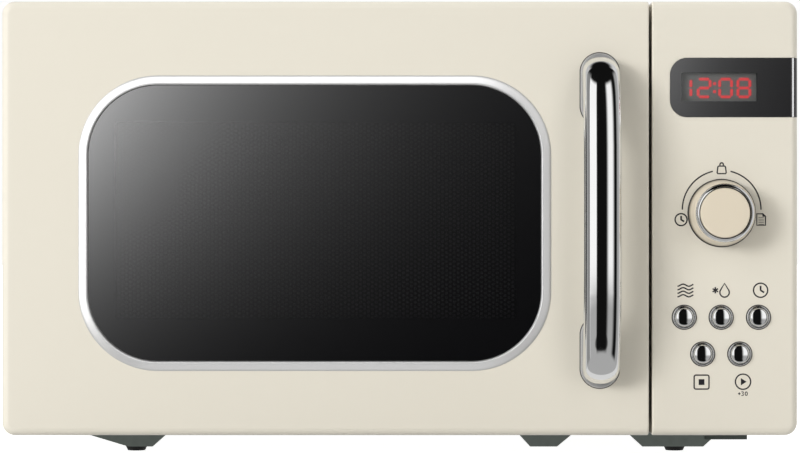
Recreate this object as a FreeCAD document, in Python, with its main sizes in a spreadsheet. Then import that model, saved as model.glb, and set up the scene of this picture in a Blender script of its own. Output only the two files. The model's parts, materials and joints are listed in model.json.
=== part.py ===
"""A countertop microwave oven, modelled as separate pieces in millimetres.

+X points to the control panel's side, +Y to the back and +Z up.  The origin lies on the
surface that the feet stand on, below the middle of the oven's overall box.
"""
import FreeCAD
import Part
import Sketcher
import math
import os
import re

Vector = FreeCAD.Vector

# Driving dimensions, in millimetres unless the name says otherwise.
SIZES = {
    "body_width": 440, "body_height": 240, "foot_height": 14, "overall_depth": 372,
    "handle_reach": 32, "spacer_depth": 6, "gauge": 1, "corner": 7, "edge_round": 4.5, "gap_round": 1,
    "door_width": 357.7, "door_depth": 26, "door_wall": 2.5, "seal_gap": 3, "panel_gap": 1.7,
    "cavity_inset": 24, "cavity_width": 304, "cavity_depth": 300, "cavity_height": 202,
    "under_floor": 20, "trim_left": 42.6, "trim_low": 35.7, "trim_width": 261,
    "trim_height": 163.2, "trim_face": 4.9, "trim_corner": 44, "trim_proud": 1.4,
    "glass_thick": 3.2, "hinge_inset": 6, "hinge_setback": 18, "pin_radius": 2, "pin_play": 0.08,
    "handle_middle": 110.5, "handle_low": 40.3, "handle_height": 185, "handle_width": 20.4,
    "handle_thick": 12, "handle_round": 4.5, "base_radius": 10.7, "base_length": 40,
    "base_thick": 1.4, "latch_middle": 127, "latch_arm": 8,
    "latch_low": 71, "latch_pitch": 120, "latch_lift": 4, "lens_left": 149.3, "lens_low": 189.9,
    "lens_high": 222.6, "lens_thick": 1.6, "lens_proud": 0.4, "lens_corner": 9.4,
    "knob_middle": 177.8, "knob_level": 136.9, "knob_radius": 18.4, "knob_depth": 18.6,
    "knob_ring_radius": 15.9, "knob_cap_radius": 14, "shaft_radius": 3, "shaft_play": 0.05,
    "bezel_radius": 6.7, "button_radius": 4.5, "button_play": 0.3, "button_travel": 1.2,
    "board_depth": 17, "tray_radius": 127.5, "floor_play": 0.3, "roller_radius": 7.5,
    "roller_track": 100, "axle_radius": 2, "coupler_shaft": 3.5, "tray_thick": 4,
    "fan_radius": 46, "fan_middle": 165, "fan_level": 150, "pad_height": 3,
}

# Places worked out from the driving dimensions, as formulas for the spreadsheet's names.
SIDE = "(body_width / 2)"
BOTTOM = "foot_height"
TOP = "(foot_height + body_height)"
FACE = "(handle_reach - overall_depth / 2)"
DOOR_BACK = f"({FACE} + door_depth)"
FRAME = f"({DOOR_BACK} + seal_gap)"
FRAME_BACK = f"({FRAME} + gauge)"
REAR = "(overall_depth / 2 - spacer_depth)"
DOOR_RIGHT = f"(door_width - {SIDE})"
PANEL_LEFT = f"({DOOR_RIGHT} + panel_gap)"
CAVITY_LEFT = f"(cavity_inset - {SIDE})"
CAVITY_RIGHT = f"({CAVITY_LEFT} + cavity_width)"
CAVITY_BACK = f"({FRAME_BACK} + cavity_depth)"
CAVITY_FLOOR = "(foot_height + under_floor)"
CAVITY_TOP = f"({CAVITY_FLOOR} + cavity_height)"
SPIN_X = f"(({CAVITY_LEFT} + {CAVITY_RIGHT}) / 2)"
SPIN_Y = f"(({FRAME_BACK} + {CAVITY_BACK}) / 2)"
HINGE_X = f"(hinge_inset - {SIDE})"
HINGE_Y = f"({FACE} + hinge_setback)"
TRIM_LEFT = f"(trim_left - {SIDE})"
TRIM_RIGHT = f"({TRIM_LEFT} + trim_width)"
TRIM_LOW = "(foot_height + trim_low)"
TRIM_HIGH = f"({TRIM_LOW} + trim_height)"
HANDLE_HIGH = "(handle_low + handle_height)"
BOARD = f"({FACE} + board_depth)"
ROLLER_LEVEL = f"({CAVITY_FLOOR} + floor_play + roller_radius)"
TRAY_LOW = f"({ROLLER_LEVEL} + roller_radius + floor_play)"
FOOT_ROWS = (-74, 130)
FOOT_PLACES = [(x, y) for x in (-152.5, 159.2) for y in FOOT_ROWS]
HANDLE_SCREWS = ("handle_low + base_radius", f"{HANDLE_HIGH} - base_radius")
SCREW_PLACES = [(side * 208, level) for side in (-1, 1) for level in (40, 130, 230)]
PANEL_BUTTONS = {
    "button_defrost": (157.1, 79.4), "button_weight": (177.5, 79.4), "button_clock": (198.1, 79.4),
    "button_stop": (167.3, 59.1), "button_start": (187.8, 59.1),
}

doc = FreeCAD.newDocument("microwave_oven")
sheet = doc.addObject("Spreadsheet::Sheet", "Sizes")
subparts = []


def fill_sheet():
    for row, (name, value) in enumerate(SIZES.items(), start=1):
        sheet.set(f"A{row}", name)
        sheet.set(f"B{row}", str(value))
        sheet.setAlias(f"B{row}", name)
    doc.recompute()


def scoped(formula):
    """The formula with every name from the sheet written as Sizes.name."""
    return re.sub(r"[a-z]\w*", lambda found: "Sizes." + found.group(), str(formula))


def value(formula):
    """The formula's number, for choosing edges and for placing a sketch's first lines."""
    return float(sheet.evalExpression(scoped(formula)))


def bind(thing, prop, formula):
    thing.setExpression(prop, scoped(formula))


def place(thing, x=0, y=0, z=0):
    for axis, formula in zip("xyz", (x, y, z)):
        bind(thing, f"Placement.Base.{axis}", formula)


def subpart(label, thing):
    """Name a finished piece; its label names its file."""
    thing.Label = label
    subparts.append(thing)
    return thing


# --- Part primitives and booleans --------------------------------------------------------

def box(x, y, z):
    """A block between two formulas along each axis."""
    block = doc.addObject("Part::Box", "Block")
    for prop, (low, high) in zip(("Length", "Width", "Height"), (x, y, z)):
        bind(block, prop, f"({high}) - ({low})")
    place(block, x[0], y[0], z[0])
    return block


TURNS = {"X": (Vector(0, 1, 0), 90), "Y": (Vector(1, 0, 0), -90), "Z": (Vector(0, 0, 1), 0)}


def cylinder(along, at, radius, length):
    """A rod that starts at a point and runs along +X, +Y or +Z."""
    rod = doc.addObject("Part::Cylinder", "Rod")
    rod.Placement = FreeCAD.Placement(Vector(), FreeCAD.Rotation(*TURNS[along]))
    bind(rod, "Radius", radius)
    bind(rod, "Height", length)
    place(rod, *at)
    return rod


def cone(along, at, start_radius, end_radius, length):
    taper = doc.addObject("Part::Cone", "Taper")
    taper.Placement = FreeCAD.Placement(Vector(), FreeCAD.Rotation(*TURNS[along]))
    bind(taper, "Radius1", start_radius)
    bind(taper, "Radius2", end_radius)
    bind(taper, "Height", length)
    place(taper, *at)
    return taper


def ball(at, radius):
    sphere = doc.addObject("Part::Sphere", "Ball")
    bind(sphere, "Radius", radius)
    place(sphere, *at)
    return sphere


def fuse(*things):
    joined = doc.addObject("Part::MultiFuse", "Joined")
    joined.Shapes = list(things)
    joined.Refine = True
    return joined


def cut(base, *tools):
    result = doc.addObject("Part::Cut", "Trimmed")
    result.Base = base
    result.Tool = tools[0] if len(tools) == 1 else fuse(*tools)
    return result


def common(first, second):
    shared = doc.addObject("Part::Common", "Shared")
    shared.Base = first
    shared.Tool = second
    return shared


def group(*things):
    """Several separate solids that make one node."""
    bunch = doc.addObject("Part::Compound", "Bunch")
    bunch.Links = list(things)
    return bunch


def tube(along, at, outer, inner, length):
    return cut(cylinder(along, at, outer, length), cylinder(along, at, inner, length))


def inner(limits, margin):
    low, high = limits
    return (f"{low} + {margin}", f"{high} - {margin}")


# --- PartDesign bodies -------------------------------------------------------------------

def new_body(name):
    return doc.addObject("PartDesign::Body", name)


def plane_sketch(body, plane, at):
    """A sketch on one of the body's own planes, moved to a place along its normal."""
    sketch = body.newObject("Sketcher::SketchObject", "Sketch")
    role = {"XZ": "XZ_Plane", "XY": "XY_Plane", "YZ": "YZ_Plane"}[plane]
    chosen = [item for item in body.Origin.OriginFeatures if item.Role == role][0]
    sketch.AttachmentSupport = [(chosen, "")]
    sketch.MapMode = "FlatFace"
    sign = "-" if plane == "XZ" else ""
    bind(sketch, "AttachmentOffset.Base.z", f"{sign}({at})")
    return sketch


def named(sketch, kind, name, formula, *where):
    """Add a constraint bound to a formula."""
    number = value(formula)
    index = sketch.addConstraint(Sketcher.Constraint(kind, *where, number))
    sketch.renameConstraint(index, name)
    bind(sketch, f"Constraints.{name}", formula)


def rounded_rectangle(sketch, x, z, radius, tag="a"):
    """Four lines and four arcs, held by their sides and one radius."""
    (left, right), (low, high) = [[value(limit) for limit in pair] for pair in (x, z)]
    r = value(radius)
    corners = [(left + r, low), (right - r, low), (right, low + r), (right, high - r),
               (right - r, high), (left + r, high), (left, high - r), (left, low + r)]
    centres = [(right - r, low + r), (right - r, high - r), (left + r, high - r), (left + r, low + r)]
    ring = []
    for side in range(4):
        start, end = [Vector(*corners[2 * side + step], 0) for step in (0, 1)]
        ring.append(sketch.addGeometry(Part.LineSegment(start, end)))
        circle = Part.Circle(Vector(*centres[side], 0), Vector(0, 0, 1), r)
        turn = math.radians(90 * side - 90)
        ring.append(sketch.addGeometry(Part.ArcOfCircle(circle, turn, turn + math.pi / 2)))
    for item, following in zip(ring, ring[1:] + ring[:1]):
        sketch.addConstraint(Sketcher.Constraint("Tangent", item, 2, following, 1))
    sketch.addConstraint(Sketcher.Constraint("Horizontal", ring[0]))
    sketch.addConstraint(Sketcher.Constraint("Vertical", ring[2]))
    sketch.addConstraint(Sketcher.Constraint("Horizontal", ring[4]))
    sketch.addConstraint(Sketcher.Constraint("Vertical", ring[6]))
    for arc in ring[3::2]:
        sketch.addConstraint(Sketcher.Constraint("Equal", ring[1], arc))
    named(sketch, "Radius", f"{tag}_radius", radius, ring[1])
    named(sketch, "DistanceX", f"{tag}_left", x[0], -1, 1, ring[6], 1)
    named(sketch, "DistanceX", f"{tag}_right", x[1], -1, 1, ring[2], 1)
    named(sketch, "DistanceY", f"{tag}_low", z[0], -1, 1, ring[0], 1)
    named(sketch, "DistanceY", f"{tag}_high", z[1], -1, 1, ring[4], 1)


def polygon(sketch, points):
    """A closed outline of straight lines through bound points."""
    places = [Vector(value(a), value(b), 0) for a, b in points]
    lines = [sketch.addGeometry(Part.LineSegment(start, end))
             for start, end in zip(places, places[1:] + places[:1])]
    for line, following in zip(lines, lines[1:] + lines[:1]):
        sketch.addConstraint(Sketcher.Constraint("Coincident", line, 2, following, 1))
    for index, (line, (a, b)) in enumerate(zip(lines, points)):
        if abs(value(a)) < 1e-9:
            sketch.addConstraint(Sketcher.Constraint("PointOnObject", line, 1, -2))
        else:
            named(sketch, "DistanceX", f"across{index}", a, -1, 1, line, 1)
        if abs(value(b)) < 1e-9:
            sketch.addConstraint(Sketcher.Constraint("PointOnObject", line, 1, -1))
        else:
            named(sketch, "DistanceY", f"along{index}", b, -1, 1, line, 1)


def rectangle(sketch, x, z):
    polygon(sketch, [(x[0], z[0]), (x[1], z[0]), (x[1], z[1]), (x[0], z[1])])


def circle(sketch, x, z, radius, tag="hole"):
    index = sketch.addGeometry(Part.Circle(Vector(value(x), value(z), 0), Vector(0, 0, 1), value(radius)))
    named(sketch, "Radius", f"{tag}_radius", radius, index)
    named(sketch, "DistanceX", f"{tag}_x", x, -1, 1, index, 3)
    named(sketch, "DistanceY", f"{tag}_z", z, -1, 1, index, 3)


def pad(body, sketch, length, backwards=False):
    feature = body.newObject("PartDesign::Pad", "Pad")
    feature.Profile = sketch
    bind(feature, "Length", length)
    feature.Reversed = backwards
    doc.recompute()
    return feature


def pocket(body, sketch, length, backwards=False):
    """Cut the sketch into the body, and make sure that it removed something."""
    before = body.Shape.Volume
    feature = body.newObject("PartDesign::Pocket", "Pocket")
    feature.Profile = sketch
    bind(feature, "Length", length)
    feature.Reversed = backwards
    doc.recompute()
    if body.Shape.Volume > before - 1:
        raise RuntimeError(f"{body.Name}: a pocket removed nothing")
    return feature


def turned(name, points, at, plane="XZ"):
    """A body turned about its own upright axis from a half outline (radius, height)."""
    body = new_body(name)
    sketch = plane_sketch(body, plane, 0)
    polygon(sketch, points)
    feature = body.newObject("PartDesign::Revolution", "Revolution")
    feature.Profile = sketch
    feature.ReferenceAxis = (sketch, ["V_Axis"])
    feature.Angle = 360
    place(body, *at)
    doc.recompute()
    return body


def spans(edge, axis):
    bounds = edge.BoundBox
    return getattr(bounds, f"{axis}Max") - getattr(bounds, f"{axis}Min")


def round_edges(body, radius, test):
    """Fillet every edge of the body's last feature that passes the test."""
    tip = body.Tip
    chosen = [f"Edge{number}" for number, edge in enumerate(tip.Shape.Edges, start=1) if test(edge)]
    if not chosen:
        raise RuntimeError(f"{body.Name}: no edge to round")
    feature = body.newObject("PartDesign::Fillet", "Fillet")
    feature.Base = (tip, chosen)
    bind(feature, "Radius", radius)
    doc.recompute()
    return feature


def lies_at(edge, axis, formula):
    """True for an edge that lies wholly at one place along an axis."""
    middle = getattr(edge.BoundBox.Center, axis.lower())
    return spans(edge, axis) < 1e-4 and abs(middle - value(formula)) < 1e-4


def slots(x, y, z, count, pitch, along):
    """A row of equal blocks, stepped along one axis."""
    row = []
    for number in range(count):
        shift = f" + {number} * {pitch}"
        limits = {"X": x, "Y": y, "Z": z}
        limits[along] = tuple(f"{limit}{shift}" for limit in limits[along])
        row.append(box(limits["X"], limits["Y"], limits["Z"]))
    return row


# --- Case --------------------------------------------------------------------------------

def base_plate():
    wide = (f"1.2 - {SIDE}", f"{SIDE} - 1.2")
    deep = (FRAME_BACK, f"{REAR} - gauge")
    tray = cut(box(wide, deep, (BOTTOM, f"{BOTTOM} + 7")),
               box(inner(wide, "gauge"), inner(deep, "gauge"), (f"{BOTTOM} + gauge", f"{BOTTOM} + 8")))
    bosses = []
    for y in FOOT_ROWS:
        bosses.append(boss((-190.5, -129.5), (-156, -142), y))
        bosses.append(boss((127.5, 185.5), (139.5, 174.5), y))
    bosses.append(boss((65, 103), (75, 90.5), FOOT_ROWS[0]))
    bosses.append(box((175, 199), (FOOT_ROWS[0] - 20, FOOT_ROWS[0] + 20), (f"{BOTTOM} - 6.5", BOTTOM)))
    vents = slots((100, 130), (-20, -17), (f"{BOTTOM} - 1", f"{BOTTOM} + 2"), 6, 8, "Y")
    subpart("base_plate", cut(fuse(tray, *bosses), *vents))


def boss(top, bottom, y, depth=40, slope=6):
    """A pressed boss under the base: its width along X at the base and at its lower face."""
    shape = doc.addObject("Part::Wedge", "Boss")
    shape.Placement = FreeCAD.Placement(Vector(0, y, 0), FreeCAD.Rotation(Vector(1, 0, 0), 90))
    bind(shape, "Ymin", 0)
    bind(shape, "Ymax", "foot_height - pad_height")
    bind(shape, "Placement.Base.z", "pad_height")
    limits = {"Xmin": bottom[0], "Xmax": bottom[1], "X2min": top[0], "X2max": top[1],
              "Zmin": slope - depth / 2, "Zmax": depth / 2 - slope, "Z2min": -depth / 2, "Z2max": depth / 2}
    for prop, amount in limits.items():
        bind(shape, prop, amount)
    return shape


def rubber_feet():
    feet = [cone("Z", (x, y, 0), 5, 6.5, "pad_height") for x, y in FOOT_PLACES]
    subpart("rubber_feet", group(*feet))


def outer_cover():
    body = new_body("OuterCover")
    skin = plane_sketch(body, "XZ", FRAME_BACK)
    rounded_rectangle(skin, (f"-{SIDE}", SIDE), (BOTTOM + " - 30", TOP), "corner")
    pad(body, skin, f"{REAR} - {FRAME_BACK}", backwards=True)
    hollow = plane_sketch(body, "XZ", FRAME_BACK)
    rounded_rectangle(hollow, (f"gauge - {SIDE}", f"{SIDE} - gauge"), (f"{BOTTOM} - 40", f"{TOP} - gauge"),
                      "corner - gauge")
    pocket(body, hollow, "overall_depth")
    skirt = plane_sketch(body, "XZ", FRAME_BACK)
    rectangle(skirt, (f"-{SIDE} - 1", f"{SIDE} + 1"), (f"{BOTTOM} - 50", BOTTOM))
    pocket(body, skirt, "overall_depth")
    vents = slots((f"{SIDE} - 3", f"{SIDE} + 1"), (70, 110), (80, 83), 9, 8, "Z")
    vents += slots((f"-{SIDE} - 1", f"3 - {SIDE}"), (90, 150), (190, 193), 5, 8, "Z")
    subpart("outer_cover", cut(body, *vents))


def cover_screws():
    screws = [fuse(cylinder("Y", (x, REAR, z), 4, 2), cylinder("Y", (x, f"{REAR} - 6", z), 1.9, 6.5))
              for x, z in SCREW_PLACES]
    subpart("cover_screws", group(*screws))


def rear_panel():
    sheet_metal = new_body("RearSheet")
    outline = plane_sketch(sheet_metal, "XZ", f"{REAR} - gauge")
    rounded_rectangle(outline, (f"1.2 - {SIDE}", f"{SIDE} - 1.2"), (f"{BOTTOM} + 0.2", f"{TOP} - 1.2"),
                      "corner - gauge")
    pad(sheet_metal, outline, "gauge", backwards=True)
    spacers = [cone("Y", (x, REAR, 230), 9, 6, "spacer_depth") for x in (-140, 60)]
    holes = [cylinder("Y", (x, f"{REAR} - 2", z), 2, 4) for x, z in SCREW_PLACES]
    holes.append(cylinder("Y", (190, f"{REAR} - 2", 48), 6, 4))
    vents = slots((125, 205), (f"{REAR} - 2", f"{REAR} + 1"), (106, 109), 11, 8, "Z")
    vents += slots((-170, -90), (f"{REAR} - 2", f"{REAR} + 1"), (180, 183), 5, 8, "Z")
    subpart("rear_panel", cut(fuse(sheet_metal, *spacers), *holes, *vents))


def cord_inlet():
    at = (190, f"{REAR} - 6", 48)
    bush = fuse(cylinder("Y", at, 5.9, 8), cylinder("Y", (190, REAR, 48), 9, 3))
    subpart("cord_inlet", cut(bush, cylinder("Y", (190, f"{REAR} - 7", 48), 3.6, 12)))


# --- Cavity and chassis ------------------------------------------------------------------

def front_frame():
    through = (f"{FRAME} - 1", f"{FRAME_BACK} + 1")
    plate = box((f"3 - {SIDE}", f"{SIDE} - 3"), (FRAME, FRAME_BACK), (f"{BOTTOM} + 2", f"{TOP} - 2"))
    mouth = box((CAVITY_LEFT, CAVITY_RIGHT), through, (CAVITY_FLOOR, CAVITY_TOP))
    wire_holes = [box((158, 196), through, zone) for zone in ((46, 84), (196, 232))]
    latch_holes = [box(("latch_middle - 6", "latch_middle + 7"), through,
                       (f"latch_low - 0.4 + {step} * latch_pitch", f"latch_low + 13 + {step} * latch_pitch"))
                   for step in (0, 1)]
    hinge_holes = [box((f"{HINGE_X} - 4.2", f"{HINGE_X} + 6.2"), through, zone)
                   for zone in ((21.8, 24.2), (243.8, 246.2))]
    subpart("front_frame", cut(plate, mouth, *wire_holes, *latch_holes, *hinge_holes))


def cavity():
    outer_x = (f"{CAVITY_LEFT} - gauge", f"{CAVITY_RIGHT} + gauge")
    deep = (FRAME_BACK, f"{CAVITY_BACK} + gauge")
    wrap = cut(box(outer_x, deep, (CAVITY_FLOOR, CAVITY_TOP)),
               box((CAVITY_LEFT, CAVITY_RIGHT), (f"{FRAME_BACK} - 1", CAVITY_BACK),
                   (f"{CAVITY_FLOOR} - 1", f"{CAVITY_TOP} + 1")),
               box((CAVITY_RIGHT, f"{CAVITY_RIGHT} + 2"), (0, 60), (130, 180)))
    subpart("cavity_wrap", wrap)
    floor = cut(box(outer_x, deep, (f"{CAVITY_FLOOR} - gauge", CAVITY_FLOOR)),
                cylinder("Z", (SPIN_X, SPIN_Y, f"{CAVITY_FLOOR} - 2"), 6, 4))
    subpart("cavity_floor", floor)
    subpart("cavity_ceiling", box(outer_x, deep, (CAVITY_TOP, f"{CAVITY_TOP} + gauge")))


def waveguide():
    x = (f"{CAVITY_RIGHT} + gauge", f"{CAVITY_RIGHT} + 27")
    duct = cut(box(x, (-12, 72), (106, 192)),
               box((f"{x[0]} - 1", f"{x[1]} - gauge"), (-11, 71), (107, 191)),
               cylinder("X", (f"{x[1]} - 2", 30, 150), 12.5, 4))
    subpart("waveguide", duct)
    cover = box((f"{CAVITY_RIGHT} - 0.6", CAVITY_RIGHT), (-6, 66), (124, 186))
    subpart("waveguide_cover", cover)


def magnetron():
    x = f"({CAVITY_RIGHT} + 27)"
    can = cylinder("X", (x, 30, 150), 20, 66)
    fins = [box((f"{x} + {8 + 6 * step}", f"{x} + {9.5 + 6 * step}"), (-8, 68), (112, 188))
            for step in range(9)]
    plates = [box((f"{x} + {at}", f"{x} + {at + 2}"), (-11, 71), (109, 191)) for at in (0, 62)]
    antenna = cylinder("X", (f"{x} - 20", 30, 150), 9, 21)
    terminals = box((f"{x} + 63", f"{x} + 74"), (18, 42), (138, 162))
    subpart("magnetron", fuse(can, antenna, terminals, *fins, *plates))
    cutout = fuse(cylinder("Z", (f"{x} + 20", 84, 138), 8, 7),
                  box((f"{x} + 8", f"{x} + 32"), (71, 92), (137, 138.4)))
    subpart("thermal_cutout", cutout)


def transformer():
    base = f"({BOTTOM} + gauge)"
    core = cut(box((122, 206), (-84, -12), (base, f"{base} + 66")),
               box((134, 194), (-85, -11), (f"{base} + 12", f"{base} + 26")),
               box((134, 194), (-85, -11), (f"{base} + 40", f"{base} + 54")))
    subpart("transformer_core", core)
    coils = [cut(box((128, 200), (-94, -2), (f"{base} + {low}", f"{base} + {low + 13}")),
                 box((121, 207), (-84.2, -11.8), (f"{base} + {low - 1}", f"{base} + {low + 14}")))
             for low in (12.5, 40.5)]
    bars = [box((135, 193), (-94, -2), (f"{base} + {low}", f"{base} + {low + 13}")) for low in (12.5, 40.5)]
    subpart("transformer_windings", group(*[fuse(coil, bar) for coil, bar in zip(coils, bars)]))


def high_voltage():
    base = f"({BOTTOM} + gauge)"
    can = fuse(box((150, 176), (14, 48), (f"{base} + 0.5", f"{base} + 78")),
               *[cylinder("Z", (x, 31, f"{base} + 0.5"), 17, 77.5) for x in (150, 176)])
    tabs = [box((x, f"{x} + 1"), (28, 34), (f"{base} + 77", f"{base} + 86")) for x in (155, 170)]
    subpart("capacitor", fuse(can, *tabs))
    diode = fuse(cylinder("X", (120, 66, f"{base} + 8"), 3.2, 16),
                 cylinder("X", (114, 66, f"{base} + 8"), 0.7, 28))
    subpart("hv_diode", diode)


def fan():
    """The cooling fan behind the magnetron: its shroud, motor and blade."""
    def fan_box(x, y, z):
        """A block placed from the fan's axis."""
        return box([f"fan_middle + {limit}" for limit in x], y, [f"fan_level + {limit}" for limit in z])

    shroud = cut(fan_box((-51, 50), (150, 152), (-52, 52)),
                 cylinder("Y", ("fan_middle", 149, "fan_level"), "fan_radius + 2", 4))
    rim = tube("Y", ("fan_middle", 150, "fan_level"), "fan_radius + 3.5", "fan_radius + 2", 20)
    legs = [fan_box((x, x + 6), (128, 151), (z, z + 4)) for x in (-49, 43) for z in (-42, 38)]
    beams = [fan_box((-49, 49), (128, 131), (z, z + 4)) for z in (-42, 38)]
    posts = [fan_box((-3, 3), (128, 131), zone) for zone in ((-42, -24), (24, 42))]
    subpart("fan_shroud", fuse(shroud, rim, *legs, *beams, *posts))
    motor = fuse(fan_box((-24, 24), (124, 140), (-24, 24)),
                 cylinder("Y", ("fan_middle", 114, "fan_level"), 15, 34))
    bore = cylinder("Y", ("fan_middle", 113, "fan_level"), 1.55, 40)
    notches = [fan_box((-4, 4), (127.9, 131.1), zone) for zone in ((-25, -23.9), (23.9, 25))]
    subpart("fan_motor", cut(motor, bore, *notches))
    hub = fuse(cylinder("Y", ("fan_middle", 154, "fan_level"), 12, 14),
               cylinder("Y", ("fan_middle", 120, "fan_level"), 1.5, 36))
    blades = [blade(360 / 5 * step) for step in range(5)]
    subpart("fan_blade", fuse(hub, *blades))


def blade(angle):
    """One pitched blade of the fan."""
    plate = doc.addObject("Part::Box", "Blade")
    bind(plate, "Length", "fan_radius - 10")
    plate.Width = 1.6
    plate.Height = 24
    turn = FreeCAD.Rotation(Vector(0, 1, 0), angle).multiply(FreeCAD.Rotation(Vector(1, 0, 0), 62))
    offset = turn.multVec(Vector(10, -0.8, -12))
    plate.Placement = FreeCAD.Placement(Vector(), turn)
    place(plate, f"fan_middle + {offset.x:.6f}", f"161 + {offset.y:.6f}", f"fan_level + {offset.z:.6f}")
    return plate


def oven_lamp():
    x = f"({CAVITY_RIGHT} + gauge)"
    glass = fuse(cylinder("X", (f"{x} + 2", 118, 205), 9, 16), ball((f"{x} + 5", 118, 205), 9))
    bulb = common(glass, box((f"{x} + 0.5", f"{x} + 40"), (100, 140), (190, 220)))
    socket = fuse(cylinder("X", (f"{x} + 17", 118, 205), 8, 12),
                  box((x, f"{x} + 18"), (128, 130), (196, 214)),
                  box((f"{x} + 17", f"{x} + 18.5"), (106, 130), (196, 214)))
    subpart("oven_lamp", fuse(bulb, socket))


def latch_board():
    """The moulding behind the frame that carries the hooks' ledges and the switches."""
    plate = box(("latch_middle - 15", "latch_middle - 10"), (FRAME_BACK, f"{FRAME_BACK} + 26"), (62, 212))
    shelves = [box(("latch_middle - 12", "latch_middle + 8"), (f"{FRAME_BACK} + 14", f"{FRAME_BACK} + 26"),
                   (f"latch_low - 9 + {step} * latch_pitch", f"latch_low - 6 + {step} * latch_pitch"))
               for step in (0, 1)]
    subpart("latch_board", fuse(plate, *shelves))
    boxes = [box(("latch_middle - 6", "latch_middle + 4"), (f"{FRAME_BACK} + 14.5", f"{FRAME_BACK} + 26"),
                 (f"latch_low - 6 + {low} + {step} * latch_pitch",
                  f"latch_low + 8 + {low} + {step} * latch_pitch"))
             for step, low in ((0, 0), (1, 0), (0, 16))]
    subpart("interlock_switches", group(*boxes))


def filter_board():
    board = box((120, 206), (84, 144), (216, 217.6))
    parts = [cylinder("Z", (138, 104, 217), 11, 14), box((160, 178), (92, 112), (217, 233)),
             box((184, 190), (92, 132), (217, 224)), box((130, 170), (122, 130), (217, 225))]
    posts = [cylinder("Z", (x, y, 217), 2.5, 34) for x in (124, 202) for y in (88, 140)]
    subpart("filter_board", fuse(board, *parts, *posts))


# --- Turntable ---------------------------------------------------------------------------

def turntable():
    motor_at = (SPIN_X, SPIN_Y, f"{BOTTOM} + gauge + 0.5")
    motor = cut(cylinder("Z", motor_at, 25, "under_floor - 3.5"),
                cylinder("Z", (SPIN_X, SPIN_Y, f"{BOTTOM} + 4"), "coupler_shaft + 0.05", 20))
    subpart("turntable_motor", motor)
    hub = fuse(cylinder("Z", (SPIN_X, SPIN_Y, f"{BOTTOM} + 6"), "coupler_shaft", 20),
               cylinder("Z", (SPIN_X, SPIN_Y, f"{CAVITY_FLOOR} + 0.5"), 9, 11))
    arms = [spoke(angle, 4, 22, 6, f"{CAVITY_FLOOR} + 4.5", 7.5) for angle in (90, 210, 330)]
    subpart("turntable_coupler", fuse(hub, *arms))
    ring = tube("Z", (SPIN_X, SPIN_Y, f"{ROLLER_LEVEL} - 1.8"), "roller_track - 10", "roller_track - 18", 3.6)
    rod_angles = (30, 150, 270)
    axles = [radial_rod(angle, "roller_track - 12", "axle_radius", 25) for angle in rod_angles]
    subpart("roller_ring", fuse(ring, *axles))
    for number, angle in enumerate(rod_angles, start=1):
        wheel = cut(radial_rod(angle, "roller_track - 4", "roller_radius", 8),
                    radial_rod(angle, "roller_track - 6", "axle_radius + 0.06", 12))
        subpart(f"roller_{number}", wheel)


def spoke(angle, start, end, width, low, height):
    """A bar that points outwards from the turntable's axis."""
    bar = doc.addObject("Part::Box", "Spoke")
    bar.Length = end - start
    bar.Width = width
    bar.Height = height
    turn = FreeCAD.Rotation(Vector(0, 0, 1), angle)
    offset = turn.multVec(Vector(start, -width / 2, 0))
    bar.Placement = FreeCAD.Placement(Vector(), turn)
    place(bar, f"{SPIN_X} + {offset.x:.6f}", f"{SPIN_Y} + {offset.y:.6f}", low)
    return bar


def radial_rod(angle, start, radius, length):
    """A rod that lies level at the rollers' height and points outwards."""
    rod = doc.addObject("Part::Cylinder", "RadialRod")
    bind(rod, "Radius", radius)
    rod.Height = length
    outward = Vector(math.cos(math.radians(angle)), math.sin(math.radians(angle)), 0)
    rod.Placement = FreeCAD.Placement(Vector(), FreeCAD.Rotation(Vector(0, 0, 1), outward))
    place(rod, f"{SPIN_X} + ({start}) * {outward.x:.6f}", f"{SPIN_Y} + ({start}) * {outward.y:.6f}",
          ROLLER_LEVEL)
    return rod


def glass_tray():
    outline = [(0, 0), ("tray_radius - 30", 0), ("tray_radius - 4", 5), ("tray_radius", 12),
               ("tray_radius - 4", 12), ("tray_radius - 8", 8), ("tray_radius - 31", "tray_thick"),
               (0, "tray_thick")]
    body = turned("GlassTray", outline, (SPIN_X, SPIN_Y, TRAY_LOW))
    lugs = [spoke(angle, 12, 17, 9, f"{TRAY_LOW} - 3", 3.5) for angle in (30, 150, 270)]
    subpart("glass_tray", fuse(body, *lugs))


# --- Control panel -----------------------------------------------------------------------

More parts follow.
